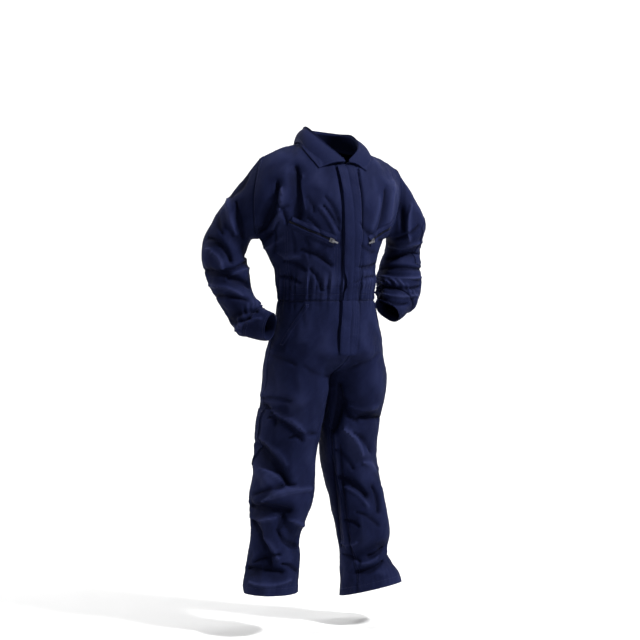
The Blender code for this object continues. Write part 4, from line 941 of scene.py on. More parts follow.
class Skin:
    """All grids joined at their seams, with creases and seams pressed in."""

    def __init__(self):
        grids = make_grids()
        every = np.concatenate([grid.reshape(-1, 3) for grid in grids.values()])
        grain = np.floor(every * 1e5 + 0.137).astype(np.int64)
        _, first, index = np.unique(grain, axis=0, return_index=True, return_inverse=True)
        index = index.reshape(-1)
        base = every[first]
        relief = np.concatenate([grid_relief(name, grid).ravel()
                                 for name, grid in grids.items()])
        relief = np.bincount(index, relief) / np.bincount(index)
        self.numbers, self.cells, start = {}, {}, 0
        for name, grid in grids.items():
            count = grid.shape[0] * grid.shape[1]
            number = index[start:start + count].reshape(grid.shape[:2])
            start += count
            quads = corners_of(number)
            if self.turned_in(name, grid, base, quads):
                quads = quads[..., ::-1]
            self.numbers[name], self.cells[name] = number, quads
        faces = np.concatenate([q.reshape(-1, 4) for q in self.cells.values()])
        normals = vertex_normals(base, faces)
        seams = base[np.unique([self.numbers["sleeve", side, 0][0] for side in (RIGHT, LEFT)])]
        away = np.concatenate([np.linalg.norm(part[:, None] - seams[None, ::4], axis=2).min(1)
                               for part in np.array_split(base, 60)])
        calm = smooth(away, 0.0, ARMHOLE_CALM)
        folds = fold_height(base, normals) * calm
        large = base + normals * folds[:, None]
        large_normals = vertex_normals(large, faces)
        fine = crease_height(large, normals) * (0.25 + 0.75 * calm)
        fine += rumple_height(large) * calm + relief
        # relief height, which the drill's finish turns into painted shade in hollows and a
        # painted highlight on ridges
        self.ridge = folds * 0.3 + fine
        self.points = large + large_normals * fine[:, None]
        self.normals = vertex_normals(self.points, faces)
        tight = [self.numbers["sleeve", RIGHT, 0][0, 0], self.numbers["sleeve", LEFT, 0][0, 0],
                 self.numbers["trouser", RIGHT, FRONT][HIP_ROWS, 0]]
        self.tight = self.points[tight]

    @staticmethod
    def turned_in(name, grid, base, quads):
        """True where a grid's cells face the inside of the suit."""
        centre = grid.reshape(-1, 3).mean(0)
        centre = np.array([centre[0] * 0.3, 0.0, centre[2]])
        if name[0] == "sleeve":
            ring = grid[:, :-1].mean(1)
            centre = ((ring[:-1] + ring[1:]) / 2)[:, None, :]
        return (cell_normals(base, quads) * (base[quads].mean(2) - centre)).sum() < 0


class Ground:
    """Patch of the skin with flat places: girth across its rows, and height along it."""

    def __init__(self, numbers, zero=0, height="level"):
        self.points = skin.points[numbers]
        self.normals = skin.normals[numbers]
        girth = lengths(self.points, 1)
        girth = girth - girth[:, zero:zero + 1]
        if height == "level":
            high = self.points[..., 2]
        elif height == "ring":
            high = np.broadcast_to(lengths(self.points[:, :-1].mean(1)[:, None], 0),
                                   girth.shape)
        else:
            high = lengths(self.points, 0)
        self.flat = np.stack([girth, high], -1)

    def read(self, values, row, column):
        """Bilinear reading of a grid of values at fractional rows and columns."""
        r = np.clip(row.astype(int), 0, values.shape[0] - 2)
        c = np.clip(column.astype(int), 0, values.shape[1] - 2)
        a = (row - r)[..., None]
        b = (column - c)[..., None]
        return ((values[r, c] * (1 - b) + values[r, c + 1] * b) * (1 - a)
                + (values[r + 1, c] * (1 - b) + values[r + 1, c + 1] * b) * a)

    def at(self, girth, height):
        """Points and normals at flat places, found by Newton steps from the nearest of a few."""
        girth, height = np.broadcast_arrays(np.asarray(girth, float), height)
        shape = girth.shape
        goal = np.stack([girth.ravel(), height.ravel()], -1)
        rows, columns = self.flat.shape[:2]
        row_pick = np.linspace(0, rows - 1, min(rows, 40)).astype(int)
        column_pick = np.linspace(0, columns - 1, min(columns, 24)).astype(int)
        few = self.flat[np.ix_(row_pick, column_pick)]
        near = np.concatenate([
            np.argmin(((part[:, None] - few.reshape(1, -1, 2)) ** 2).sum(2), 1)
            for part in np.array_split(goal, 1 + len(goal) // 4000)])
        row = row_pick[near // len(column_pick)].astype(float)
        column = column_pick[near % len(column_pick)].astype(float)
        for _ in range(14):
            miss = goal - self.read(self.flat, row, column)
            along_row = (self.read(self.flat, np.minimum(row + 0.5, rows - 1), column)
                         - self.read(self.flat, np.maximum(row - 0.5, 0), column))
            along_column = (self.read(self.flat, row, np.minimum(column + 0.5, columns - 1))
                            - self.read(self.flat, row, np.maximum(column - 0.5, 0)))
            area = (along_row[:, 0] * along_column[:, 1]
                    - along_row[:, 1] * along_column[:, 0])
            area = np.where(np.abs(area) < 1e-12, 1e-12, area)
            d_row = (miss[:, 0] * along_column[:, 1] - miss[:, 1] * along_column[:, 0]) / area
            d_column = (along_row[:, 0] * miss[:, 1] - along_row[:, 1] * miss[:, 0]) / area
            row = np.clip(row + np.clip(d_row, -12, 12), 0, rows - 1.001)
            column = np.clip(column + np.clip(d_column, -12, 12), 0, columns - 1.001)
        points = self.read(self.points, row, column).reshape(*shape, 3)
        normals = unit(self.read(self.normals, row, column)).reshape(*shape, 3)
        return points, normals


def both_sides(kind, face, rows=slice(None)):
    """Point numbers of a front or back from side seam to side seam."""
    right = skin.numbers[kind, RIGHT, face][rows]
    left = skin.numbers[kind, LEFT, face][rows]
    return np.concatenate([right[:, ::-1], left[:, 1:]], 1)


def body_ground(face):
    """Bodice and hips, front or back, from neck to crotch, with girth from the centre."""
    top = both_sides("bodice", face)[::-1]
    low = both_sides("trouser", face, slice(1, HIP_ROWS + 1))
    return Ground(np.concatenate([top, low]), HALF_COLUMNS)


def side_ground(side):
    """Waist to hem round a side seam, with girth from it: the front is negative."""
    front = skin.numbers["trouser", side, FRONT]
    back = skin.numbers["trouser", side, BACK]
    return Ground(np.concatenate([front, back[:, -2::-1]], 1), HALF_COLUMNS)


def inseam_ground(side):
    """Crotch to hem round an inseam, with girth from it: the front is positive."""
    front = skin.numbers["trouser", side, FRONT][HIP_ROWS + 3:]
    back = skin.numbers["trouser", side, BACK][HIP_ROWS + 3:]
    return Ground(np.concatenate([back[:, :0:-1], front], 1), HALF_COLUMNS)


# ---- Meshes ---------------------------------------------------------------------------------
def make_piece(name, points, faces, finish, uv=None, ridge=None, sharp=40.0):
    """Mesh object from arrays, with flat places as its UV map and its ridges as an attribute."""
    mesh = bpy.data.meshes.new(name)
    faces = np.asarray(faces, np.int32)
    mesh.vertices.add(len(points))
    mesh.vertices.foreach_set("co", np.asarray(points, np.float32).ravel())
    size = faces.shape[1]
    mesh.loops.add(faces.size)
    mesh.loops.foreach_set("vertex_index", faces.ravel())
    mesh.polygons.add(len(faces))
    mesh.polygons.foreach_set("loop_start", np.arange(len(faces), dtype=np.int32) * size)
    mesh.polygons.foreach_set("loop_total", np.full(len(faces), size, np.int32))
    mesh.update(calc_edges=True)
    mesh.validate()
    mesh.shade_smooth()
    mesh.set_sharp_from_angle(angle=math.radians(sharp))
    if uv is not None:
        layer = mesh.uv_layers.new(name="flat")
        layer.data.foreach_set("uv", np.asarray(uv, np.float32)[faces.ravel()].ravel())
    if ridge is not None:
        mark = mesh.attributes.new("ridge", "FLOAT", "POINT")
        mark.data.foreach_set("value", np.asarray(ridge, np.float32))
    mesh.materials.append(finish)
    piece = bpy.data.objects.new(name, mesh)
    bpy.context.scene.collection.objects.link(piece)
    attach(piece, "suit")
    return piece


def border(quads):
    """Directed edges, one row each, that only one cell uses."""
    a = quads.ravel()
    b = np.roll(quads, -1, 1).ravel()
    stride = int(quads.max()) + 1
    forward = a.astype(np.int64) * stride + b
    alone = ~np.isin(forward, b.astype(np.int64) * stride + a)
    return np.stack([a[alone], b[alone]], 1)


def closed(outer, inner, quads):
    """Points and faces of a shell between two copies of an open surface."""
    count = len(outer)
    edge = border(quads)
    rim = np.stack([edge[:, 1], edge[:, 0], edge[:, 0] + count, edge[:, 1] + count], 1)
    return (np.concatenate([outer, inner]),
            np.concatenate([quads, quads[:, ::-1] + count, rim]))


def panel(name, parts, finish, thickness=WALL):
    """Cloth piece: its cells of the skin, drawn in from its seams, with a wall inwards."""
    quads = np.concatenate([skin.cells[key][rows].reshape(-1, 4) for key, rows in parts])
    used, local = np.unique(quads, return_inverse=True)
    local = local.reshape(-1, 4)
    spots, normals = skin.points[used], skin.normals[used]
    uv = np.zeros((len(used), 2))
    for key, rows in parts:
        number = skin.numbers[key]
        grid = skin.points[number]
        girth = lengths(grid, 1) * key[1]
        down = lengths(grid, 0)
        place = np.searchsorted(used, number)
        inside = (place < len(used)) & (used[np.minimum(place, len(used) - 1)] == number)
        uv[place[inside]] = np.stack([girth[inside], down[inside]], -1)
    edge = border(local)
    way = unit(np.cross(unit(normals[edge[:, 0]] + normals[edge[:, 1]]),
                        spots[edge[:, 1]] - spots[edge[:, 0]]))
    shift = sum(summed(edge[:, end], way, len(spots)) for end in (0, 1))
    outer = spots + SEAM_PULL * unit(shift)
    away = np.linalg.norm(spots[:, None] - skin.tight[None], axis=2).min(1)
    wall = thickness * (1 - TIGHT_THIN * (1 - smooth(away, *TIGHT_REACH)))
    points, faces = closed(outer, outer - normals * wall[:, None], local)
    return make_piece(name, points, faces, finish, np.concatenate([uv, uv]),
                      np.tile(skin.ridge[used], 2))


def grid_piece(name, outer, inner, finish, uv, ridge=None, sharp=60.0):
    """Closed piece from an outer and an inner grid of points."""
    rows, columns = outer.shape[:2]
    quads = corners_of(np.arange(rows * columns).reshape(rows, columns)).reshape(-1, 4)
    flat_outer, flat_inner = outer.reshape(-1, 3), inner.reshape(-1, 3)
    centre = quads[len(quads) // 2]
    through = flat_outer[centre[0]] - flat_inner[centre[0]]
    if cell_normals(flat_outer, centre) @ through < 0:
        quads = quads[:, ::-1]
    points, faces = closed(flat_outer, flat_inner, quads)
    flat = uv.reshape(-1, 2)
    marks = np.zeros(len(flat)) if ridge is None else ridge.ravel()
    return make_piece(name, points, faces, finish, np.concatenate([flat, flat]),
                      np.tile(marks, 2), sharp)


def laid(name, ground, girth, height, finish, lift=LAY_LIFT, wall=LAY_WALL, channels=(),
         stand=0.0):
    """Piece laid on the skin over a grid of flat places, with turned edges and channels."""
    points, normals = ground.at(girth, height)
    over, down = lengths(points, 1), lengths(points, 0)
    inset = np.minimum(np.minimum(over, over[:, -1:] - over), np.minimum(down, down[-1:] - down))
    roll = np.clip(1 - inset / FOLDED_EDGE, 0, 1)
    crown = wall * (0.35 + 0.65 * np.sqrt(1 - roll**2)) + stitch_channels(inset, channels)
    puffs = pucker_height(np.abs(inset - 0.003), girth + height, 1.3) * 0.6
    outer = points + normals * (lift + crown + puffs * (inset > 0) + stand)[..., None]
    inner = points + normals * (lift + stand + 0 * girth)[..., None]
    uv = np.stack([girth, height], -1)
    # the relief goes to the finish: the drill paints shade into the turned edges and stitch
    # channels
    return grid_piece(name, outer, inner, finish, uv, crown - wall)


def crowd_steps(width, fine=0.0007, coarse=0.0022, edge=0.006):
    """Places over a width, close together near both edges and wider in the middle."""
    near = np.arange(0, edge, fine)
    middle = max(width - 2 * edge, coarse)
    inner = np.linspace(edge, edge + middle, max(2, int(middle / coarse) + 1))
    whole = np.concatenate([near, inner, 2 * edge + middle - near[::-1]])
    return whole / whole[-1]


def band_places(inner, outer, half_width, sign, offset):
    """Grid of flat places over a straight band, moved sideways by offset."""
    a, b = np.array(inner), np.array(outer)
    way = (b - a) / np.hypot(*(b - a))
    beside = np.array([-way[1], way[0]])
    long = crowd_steps(np.hypot(*(b - a)))[:, None, None]
    wide = (crowd_steps(2 * half_width, 0.0005, 0.001, 0.0018) * 2 - 1)[None, :, None]
    place = a + (b - a) * long + beside * (offset + half_width * wide)
    return place[..., 0] * sign, place[..., 1]


def stitches(name, rows, finish):
    """Rows of stitches, one joined mesh: each is a short lozenge of thread along its row.

    Every row is a line of points with its normals; the line is cut at an even pitch.
    """
    along, size, rise = np.array(THREAD_STATIONS).T[..., None, None]
    across, up = np.array(THREAD_RING).T[..., None]
    number = np.arange(size.size * len(across)).reshape(size.size, -1)
    wraps = corners_of(np.concatenate([number, number[:, :1]], 1)).reshape(-1, 4)
    foot, top = number[0], number[-1]
    caps = [foot[[5, 4, 3, 2]], foot[[5, 2, 1, 0]], top[[0, 1, 2, 3]], top[[0, 3, 4, 5]]]
    one = np.concatenate([wraps, caps])
    shapes = []
    for points, normals in rows:
        travel = travelled(points)
        count = max(1, int(travel[-1] / STITCH_PITCH))
        middle = (np.arange(count) + 0.5) * travel[-1] / count
        centre = read_line(middle, travel, points)[:, None, None]
        out = unit(read_line(middle, travel, normals))
        way = unit(read_line(middle + STITCH_LENGTH / 2, travel, points)
                   - read_line(middle - STITCH_LENGTH / 2, travel, points))
        beside = np.cross(out, way)[:, None, None]
        out, way = out[:, None, None], way[:, None, None]
        shape = (centre + way * along * STITCH_LENGTH + beside * across * size * THREAD_HALF
                 + out * (up * size + rise) * THREAD_HALF)
        shapes.append(shape.reshape(-1, number.size, 3))
    shapes = np.concatenate(shapes)
    faces = one + (np.arange(len(shapes)) * number.size)[:, None, None]
    piece = make_piece(name, shapes.reshape(-1, 3), faces.reshape(-1, 4), finish, sharp=70.0)
    return piece


def teeth(name, ground, inner, outer, sign, finish):
    """Two rows of moulded zip teeth that mesh along a straight line of flat places."""
    a, b = np.array(inner), np.array(outer)
    count = int(np.hypot(*(b - a)) / TOOTH_PITCH)
    share = (np.arange(count) + 0.5) / count
    place = a + (b - a) * share[:, None]
    points, normals = ground.at(place[:, 0] * sign, place[:, 1])
    way = unit(np.gradient(points, axis=0))
    odd = np.arange(count) % 2 == 1
    beside = np.cross(normals, way) * np.where(odd, 1, -1)[:, None]
    box = np.array([(x, y, z) for z in (0, 1) for x, y in
                    ((-0.36, -0.20), (0.36, -0.20), (0.36, 1.0), (-0.36, 1.0))])
    box[4:, :2] *= (0.8, 0.85)
    shape = (points[:, None] + way[:, None] * box[:, :1] * TOOTH_PITCH * TOOTH_BREADTH
             + beside[:, None] * box[:, 1:2] * TOOTH_REACH
             + normals[:, None] * (ZIP_LIFT + ZIP_WALL + box[:, 2:] * TOOTH_HEIGHT))
    sides = np.array([(0, 1, 5, 4), (1, 2, 6, 5), (2, 3, 7, 6), (3, 0, 4, 7), (4, 5, 6, 7),
                      (3, 2, 1, 0)])
    faces = sides + (np.arange(count) * len(box))[:, None, None]
    faces[odd] = faces[odd][..., ::-1]
    piece = make_piece(name, shape.reshape(-1, 3), faces.reshape(-1, 4), finish, sharp=30.0)
    return piece


# ---- Finishes -------------------------------------------------------------------------------
class Value:
    """A socket of a finish, with arithmetic that adds Math nodes."""

    def __init__(self, finish, socket):
        self.finish = finish
        self.socket = socket

    def math(self, operation, first, second=None):
        inputs = {0: first} if second is None else {0: first, 1: second}
        return self.finish.node("ShaderNodeMath", {"operation": operation}, inputs)

    def __add__(self, other):
        return self.math("ADD", self, other)

    def __radd__(self, other):
        return self.math("ADD", other, self)

    def __sub__(self, other):
        return self.math("SUBTRACT", self, other)

    def __rsub__(self, other):
        return self.math("SUBTRACT", other, self)

    def __mul__(self, other):
        return self.math("MULTIPLY", self, other)

    def __rmul__(self, other):
        return self.math("MULTIPLY", other, self)

    def sine(self):
        return self.math("SINE", self)

    def limited(self):
        return self.finish.node("ShaderNodeClamp", {}, {"Value": self})


class Finish:
    """A procedural material with one Principled shader."""

    def __init__(self, name, roughness, **fixed):
        self.material = bpy.data.materials.new(name)
        self.material.use_nodes = True
        self.tree = self.material.node_tree
        self.shader = self.tree.nodes["Principled BSDF"]
        self.shader.inputs["Roughness"].default_value = roughness
        for socket, value in fixed.items():
            self.shader.inputs[socket.replace("_", " ")].default_value = value

    def node(self, kind, settings, inputs, output=0):
        """Node of a kind: its settings first, then the values or links of its sockets."""
        made = self.tree.nodes.new(kind)
        stops = settings.pop("stops", None)
        for name, value in settings.items():
            setattr(made, name, value)
        if stops:
            ramp = made.color_ramp
            for element, (place, colour) in zip(ramp.elements, stops):
                element.position = place
                element.color = (*colour, 1.0)
        for name, value in inputs.items():
            if isinstance(value, Value):
                self.tree.links.new(value.socket, made.inputs[name])
            else:
                made.inputs[name].default_value = value
        return Value(self, made.outputs[output])

    def feed(self, socket, value):
        self.tree.links.new(value.socket, self.shader.inputs[socket])

    def mixed(self, factor, first, second):
        """Mix of two colours, each a colour or a link."""
        ends = {6: first, 7: second}
        ends = {k: v if isinstance(v, Value) else (*v, 1.0) for k, v in ends.items()}
        return self.node("ShaderNodeMix", {"data_type": "RGBA"}, {0: factor, **ends}, 2)

    def noise(self, place, scale, detail=3.0, roughness=0.5):
        return self.node("ShaderNodeTexNoise", {}, {"Vector": place, "Scale": scale,
                                                    "Detail": detail, "Roughness": roughness})

    def place(self):
        return self.node("ShaderNodeTexCoord", {}, {}, "Object")

    def flat(self):
        """The two flat directions of the cloth, in metres."""
        parts = self.node("ShaderNodeSeparateXYZ", {},
                          {0: self.node("ShaderNodeUVMap", {"uv_map": "flat"}, {})})
        return parts, Value(self, parts.socket.node.outputs[1])

    def bump(self, height, strength, distance):
        return self.node("ShaderNodeBump", {}, {"Height": height, "Strength": strength,
                                                "Distance": distance})


def drill():
    """Navy cotton drill: a diagonal twill, slubs, worn patches, a painted highlight on ridges
    and painted shade in hollows.
    """
    finish = Finish("navy_drill", 0.70, Sheen_Weight=0.004, Sheen_Roughness=0.5,
                    Specular_IOR_Level=0.02, Sheen_Tint=(0.62, 0.68, 1.0, 1.0))
    u, v = finish.flat()
    place = finish.place()
    twill = ((u * 0.8 + v * 0.6) * (2 * math.pi / TWILL_PITCH)).sine()
    weft = ((v * 0.8 - u * 0.6) * (2 * math.pi / WEFT_PITCH)).sine()
    slub = finish.noise(place, 900.0, 2.0)
    cloud = finish.noise(place, 26.0, 4.0, 0.55)
    mottle = finish.noise(place, 210.0, 3.0, 0.6)
    ridge = finish.node("ShaderNodeAttribute", {"attribute_name": "ridge"}, {}, "Fac")
    # lighter navy where this is high: worn patches at random from the noise, and a painted
    # highlight along the ridges of the relief
    wear_and_highlight = (ridge * 260.0 + (cloud - 0.5) * 0.12 + (mottle - 0.5) * 0.14 + 0.06).limited()
    # painted shade: darker navy in the hollows of the relief (crease troughs, seam grooves,
    # stitch channels, turned edges), a little uneven by the noise
    hollow = (ridge * -250.0 + (cloud - 0.5) * 0.08).limited()
    base = finish.mixed(wear_and_highlight * 0.80, NAVY, NAVY_WORN_AND_HIGHLIGHT)
    base = finish.mixed(hollow * 0.75, base, NAVY_PAINTED_SHADE)
    thread = (twill * 0.5 + 0.5) * 0.12 + (slub - 0.5) * 0.30
    base = finish.mixed(thread.limited(), base, NAVY_WORN_AND_HIGHLIGHT)
    finish.feed("Base Color", base)
    finish.feed("Roughness", 0.72 - wear_and_highlight * 0.12 + (mottle - 0.5) * 0.12)
    crumple = finish.noise(place, 48.0, 2.0, 0.45)
    weave = twill * 0.5 + weft * 0.25 + slub * 1.1 + mottle * 2.2 + crumple * 5.0
    finish.feed("Normal", finish.bump(weave, 0.35, 0.00022))
    return finish.material


def tape():
    """Black-navy woven zip tape with fine ribs."""
    finish = Finish("zip_tape_weave", 0.75, Specular_IOR_Level=0.03)
    rib = (finish.flat()[0] * (2 * math.pi / RIB_PITCH)).sine()
    slub = finish.noise(finish.place(), 1200.0, 2.0)
    finish.feed("Base Color", finish.mixed((rib * 0.25 + slub * 0.5).limited(), TAPE,
                                           TAPE_WORN))
    finish.feed("Normal", finish.bump(rib + slub, 0.4, 0.00015))
    return finish.material


def thread():
    """Polyester sewing thread, a little lighter and glossier than the drill."""
    finish = Finish("navy_thread", 0.55, Specular_IOR_Level=0.10)
    grain = finish.noise(finish.place(), 1400.0, 2.0)
    finish.feed("Base Color", finish.mixed(grain, THREAD, NAVY_WORN_AND_HIGHLIGHT))
    finish.feed("Normal", finish.bump(grain, 0.5, 0.0001))
    return finish.material


def moulded_teeth():
    """Dark moulded zip teeth, semi-gloss."""
    finish = Finish("zip_teeth", 0.38, Specular_IOR_Level=0.14)
    grain = finish.noise(finish.place(), 700.0, 2.0)
    finish.feed("Base Color", finish.mixed(grain, TEETH, TEETH_WORN))
    finish.feed("Roughness", 0.30 + grain * 0.18)
    return finish.material


def nickel():
    """Tumbled nickel with fine scuffs and duller patches at random."""
    finish = Finish("satin_nickel", 0.3, Metallic=1.0)
    place = finish.place()
    scuff = finish.noise(place, 2600.0, 4.0, 0.7)
    dull = finish.noise(place, 420.0, 2.0)
    finish.feed("Base Color", finish.mixed(dull, NICKEL, NICKEL_DULL))
    finish.feed("Roughness", 0.20 + scuff * 0.28)
    finish.feed("Normal", finish.bump(scuff, 0.25, 0.00006))
    return finish.material


# ---- Collar ---------------------------------------------------------------------------------
def neck_column():
    """Column of the bodice's grids at which the neckline meets the shoulder seam."""
    return int(np.argmin(np.abs(steps(0, 1, HALF_COLUMNS) - NECK_SHARE)))


def neck_ring():
    """Points of the neckline, from the right front end by the back to the left."""
    ring = []
    for side, face, order in ((RIGHT, FRONT, 1), (RIGHT, BACK, -1),
                              (LEFT, BACK, 1), (LEFT, FRONT, -1)):
        number = skin.numbers["bodice", side, face][-1, :neck_column() + 1][::order]
        ring.append(number[1:] if ring else number)
    return skin.points[np.concatenate(ring)]


def collar_grid():
    """The collar's middle surface, the row at which its fall starts, and that row's ways.

    Each column goes up the stand from inside the neckline, over the fold in half a turn,
    and down the fall in a low arch. Soft waves grow towards the free edge.
    """
    neck = neck_ring()
    travel = travelled(neck)
    q = steps(-1, 1, COLLAR_COLUMNS)
    quarter = len(neck) // 4
    knots = travel[[0, quarter, 2 * quarter, 3 * quarter, len(neck) - 1]]
    base = read_line(np.interp(q, (-1, -0.5, 0, 0.5, 1), knots), travel, neck)
    value = read_table(COLLAR, q)
    fold, edge = value[:, :3], value[:, 3:]
    up = np.array([0.0, 0.0, 1.0])
    out = unit((base - COLLAR_AXIS) * (1.0, 1.0, 0.0))
    base = base - out * COLLAR_INSET
    height = np.clip(fold[:, 2] - base[:, 2], 0.0, None)[:, None]
    inner_top = fold - out * FOLD_HALF - up * np.minimum(FOLD_DROP, height * 0.5)
    outer_top = fold + out * FOLD_HALF - up * FOLD_DROP
    rows = [base - up * COLLAR_FOOT * share for share in (1.0, 0.75, 0.5, 0.25)]
    rows += [base + (inner_top - base) * share
             for share in steps(0, 1, COLLAR_STAND_ROWS, "low")]
    for angle in np.linspace(0, math.pi, COLLAR_FOLD_ROWS + 1)[1:-1]:
        low = inner_top * (1 + math.cos(angle)) / 2 + outer_top * (1 - math.cos(angle)) / 2
        rows.append(low * (1 - math.sin(angle)) + fold * math.sin(angle))
    start = len(rows)
    fall = steps(0, 1, COLLAR_FALL_ROWS, "high")
    wave = COLLAR_WAVE * sum(share * np.sin(rate * q + phase)
                             for rate, phase, share in COLLAR_WAVES)[:, None]
    for share in fall:
        rise = COLLAR_CROWN * math.sin(math.pi * share)
        rows.append(outer_top + (edge - outer_top) * share + (out * 0.6 + up * 0.8) * rise
                    + (out * 0.5 + up * 0.8) * wave * share)
    return np.stack(rows), start


def make_collar(finish):
    """Turned-down collar with a turned edge, lying on the cloth, and its stitch row."""
    grid, start = collar_grid()
    near = skin.points[:, 2] > COLLAR_NEAR_Z
    near_skin, near_normal = skin.points[near][::3], skin.normals[near][::3]
    for row in grid[start + 3:]:
        nearest = np.argmin(((row[:, None] - near_skin[None]) ** 2).sum(2), 1)
        over = ((row - near_skin[nearest]) * near_normal[nearest]).sum(1)
        short = np.clip(COLLAR_CLEAR - over, 0, COLLAR_PUSH)
        row += near_normal[nearest] * short[:, None]
    quads = corners_of(np.arange(grid.shape[0] * grid.shape[1]).reshape(grid.shape[:2]))
    normals = vertex_normals(grid.reshape(-1, 3), quads.reshape(-1, 4)).reshape(grid.shape)
    if normals[start + 8, COLLAR_COLUMNS // 2, 2] < 0:
        normals = -normals
    across, down = lengths(grid, 1), lengths(grid, 0)
    from_edge = down[-1:] - down
    inset = np.minimum(from_edge, np.minimum(across, across[:, -1:] - across))
    on_fall = np.arange(grid.shape[0])[:, None] >= start
    roll = np.clip(1 - inset / FOLDED_EDGE, 0, 1)
    crown = (COLLAR_WALL * (0.45 + 0.55 * np.sqrt(1 - roll**2)) - COLLAR_WALL
             + stitch_channels(inset, (COLLAR_ROW,)) * on_fall)
    outer = grid + normals * crown[..., None]
    # the crown is passed as the relief: the drill paints shade into the turned edge and the
    # stitch row
    pieces["collar"] = grid_piece("collar_cloth", outer, grid - normals * COLLAR_WALL, finish,
                                  np.stack([across, down], -1), crown, 75.0)
    columns = np.arange(3, grid.shape[1] - 3)
    rows = np.argmin(np.abs(from_edge - COLLAR_ROW)[start:], 0)[columns] + start
    thread_rows["trim"].append((outer[rows, columns], normals[rows, columns]))


# ---- The suit -------------------------------------------------------------------------------
skin = Skin()
DRILL = drill()
ZIP_TAPE = tape()
ZIP_TEETH = moulded_teeth()
SEWING = thread()
SATIN_NICKEL = nickel()
front_ground = body_ground(FRONT)
back_ground = body_ground(BACK)
thread_rows = {"body": [], "legs": [], "sleeves": [], "trim": []}
pieces = {}


def whole(*keys):
    return [(key, slice(None)) for key in keys]


def make_panels():
    """The cut panels of bodice, trousers, sleeves and cuffs."""
    pieces["back"] = panel("back_cloth", whole(("bodice", RIGHT, BACK),
                                               ("bodice", LEFT, BACK)), DRILL)
    for side, word in SIDES:
        pieces["front_" + word] = panel("front_cloth_" + word,
                                        whole(("bodice", side, FRONT)), DRILL)
        for face, half in ((FRONT, "leg_front_"), (BACK, "leg_back_")):
            pieces[half + word] = panel(half + "cloth_" + word,
                                        whole(("trouser", side, face)), DRILL)
        arm = ("sleeve", side, 0)
        pieces["sleeve_" + word] = panel("sleeve_cloth_" + word,
                                         [(arm, slice(0, SLEEVE_ROWS))], DRILL)
        pieces["cuff_" + word] = panel("cuff_cloth_" + word,
                                       [(arm, slice(SLEEVE_ROWS, None))], DRILL, CUFF_WALL)


def row_on(ground, girth, height, group, lift=0.0):
    """Stitch row through flat places of a ground."""
    points, normals = ground.at(girth, height)
    thread_rows[group].append((points + normals * lift, normals))


def edge_rows(numbers, insets, group, ends, count=130, row=0, first=0):
    """Stitch rows inside the first edge of a patch of the skin, short of its two ends.

    They are as long as the given row of the patch, from its first column on.
    """
    ground = Ground(numbers, 0, "travel")
    start, stop = ground.flat[row, [first, -1], 0]
    for inset in insets:
        row_on(ground, np.linspace(start + ends[0], stop - ends[1], count), inset, group)


def sew_panels():
    """Double rows beside the felled seams, and single rows at casing, hems and cuffs."""
    for row in FELL_ROWS:
        for sign in (-1, 1):
            row_on(back_ground, sign * row, np.linspace(*BACK_SEAM_LINE), "body")
        row_on(front_ground, -row, np.linspace(*FRONT_SEAM_LINE), "body")
    wide = np.linspace(*CASING_LINE)
    beside_flap = (wide[wide < PLACKET_FREE - 0.001], wide[wide > PLACKET_SEWN + 0.001])
    for ground, parts in ((front_ground, beside_flap), (back_ground, (wide,))):
        for rise in WAIST_ROWS:
            for part in parts:
                row_on(ground, part, WAIST_Z + rise, "body")
    for side in (RIGHT, LEFT):
        for ground, (top, end, count) in ((side_ground(side), OUTSEAM_LINE),
                                          (inseam_ground(side), INSEAM_LINE)):
            for row in FELL_ROWS:
                row_on(ground, row, np.linspace(top, HEM_Z[side] + end, count), "legs")
        for face in (FRONT, BACK):
            trouser_numbers = skin.numbers["trouser", side, face]
            bodice_numbers = skin.numbers["bodice", side, face]
            edge_rows(trouser_numbers[::-1], (HEM_ROW,), "legs", HEM_ENDS, row=2)
            edge_rows(np.flip(bodice_numbers[BODICE_LOW_ROWS:].T, 0), FELL_ROWS, "body",
                      ARMHOLE_ENDS, 110)
            if face == BACK:
                low = Ground(bodice_numbers[:BODICE_LOW_ROWS + 1], HALF_COLUMNS)
                for row in FELL_ROWS:
                    row_on(low, -row, np.linspace(*BODICE_SIDE_LINE), "body")
                edge_rows(bodice_numbers[::-1], FELL_ROWS, "body", HEM_ENDS, 60,
                          first=neck_column())
        cuff = skin.numbers["sleeve", side, 0][SLEEVE_ROWS:]
        for numbers, insets in ((cuff, FELL_ROWS), (cuff[::-1], (CUFF_EDGE_ROW,))):
            edge_rows(numbers, insets, "sleeves", CUFF_ENDS, row=1)


def rounded_patch(left, right, top, foot):
    """Grid of flat places over a patch whose two lower corners are clipped round."""
    wide = crowd_steps(right - left)[None, :]
    tall = crowd_steps(top - foot)[:, None]
    height = top + (foot - top) * tall
    clip = np.clip(1 - (height - foot) / POCKET_CORNER, 0, 1)
    cut = POCKET_CORNER * (1 - np.sqrt(1 - clip**2)) * CORNER_CUT
    girth = left + cut + (right - left - 2 * cut) * wide
    return girth, np.broadcast_to(height, girth.shape).copy()


def inset_row(girth, height, inset):
    """Flat places that follow a patch's two sides and foot at an inset from its edge."""
    left, right = girth.min() + inset, girth.max() - inset
    top, foot = height.max(), height.min() + inset
    corner = POCKET_CORNER * CORNER_CUT
    near = corner * 0.3
    line = np.array([(left, top), (left, foot + corner), (left + near, foot + near),
                     (left + corner, foot), (right - corner, foot), (right - near, foot + near),
                     (right, foot + corner), (right, top)])
    travel = travelled(line)
    return read_line(np.linspace(0, travel[-1], 200), travel, line).T


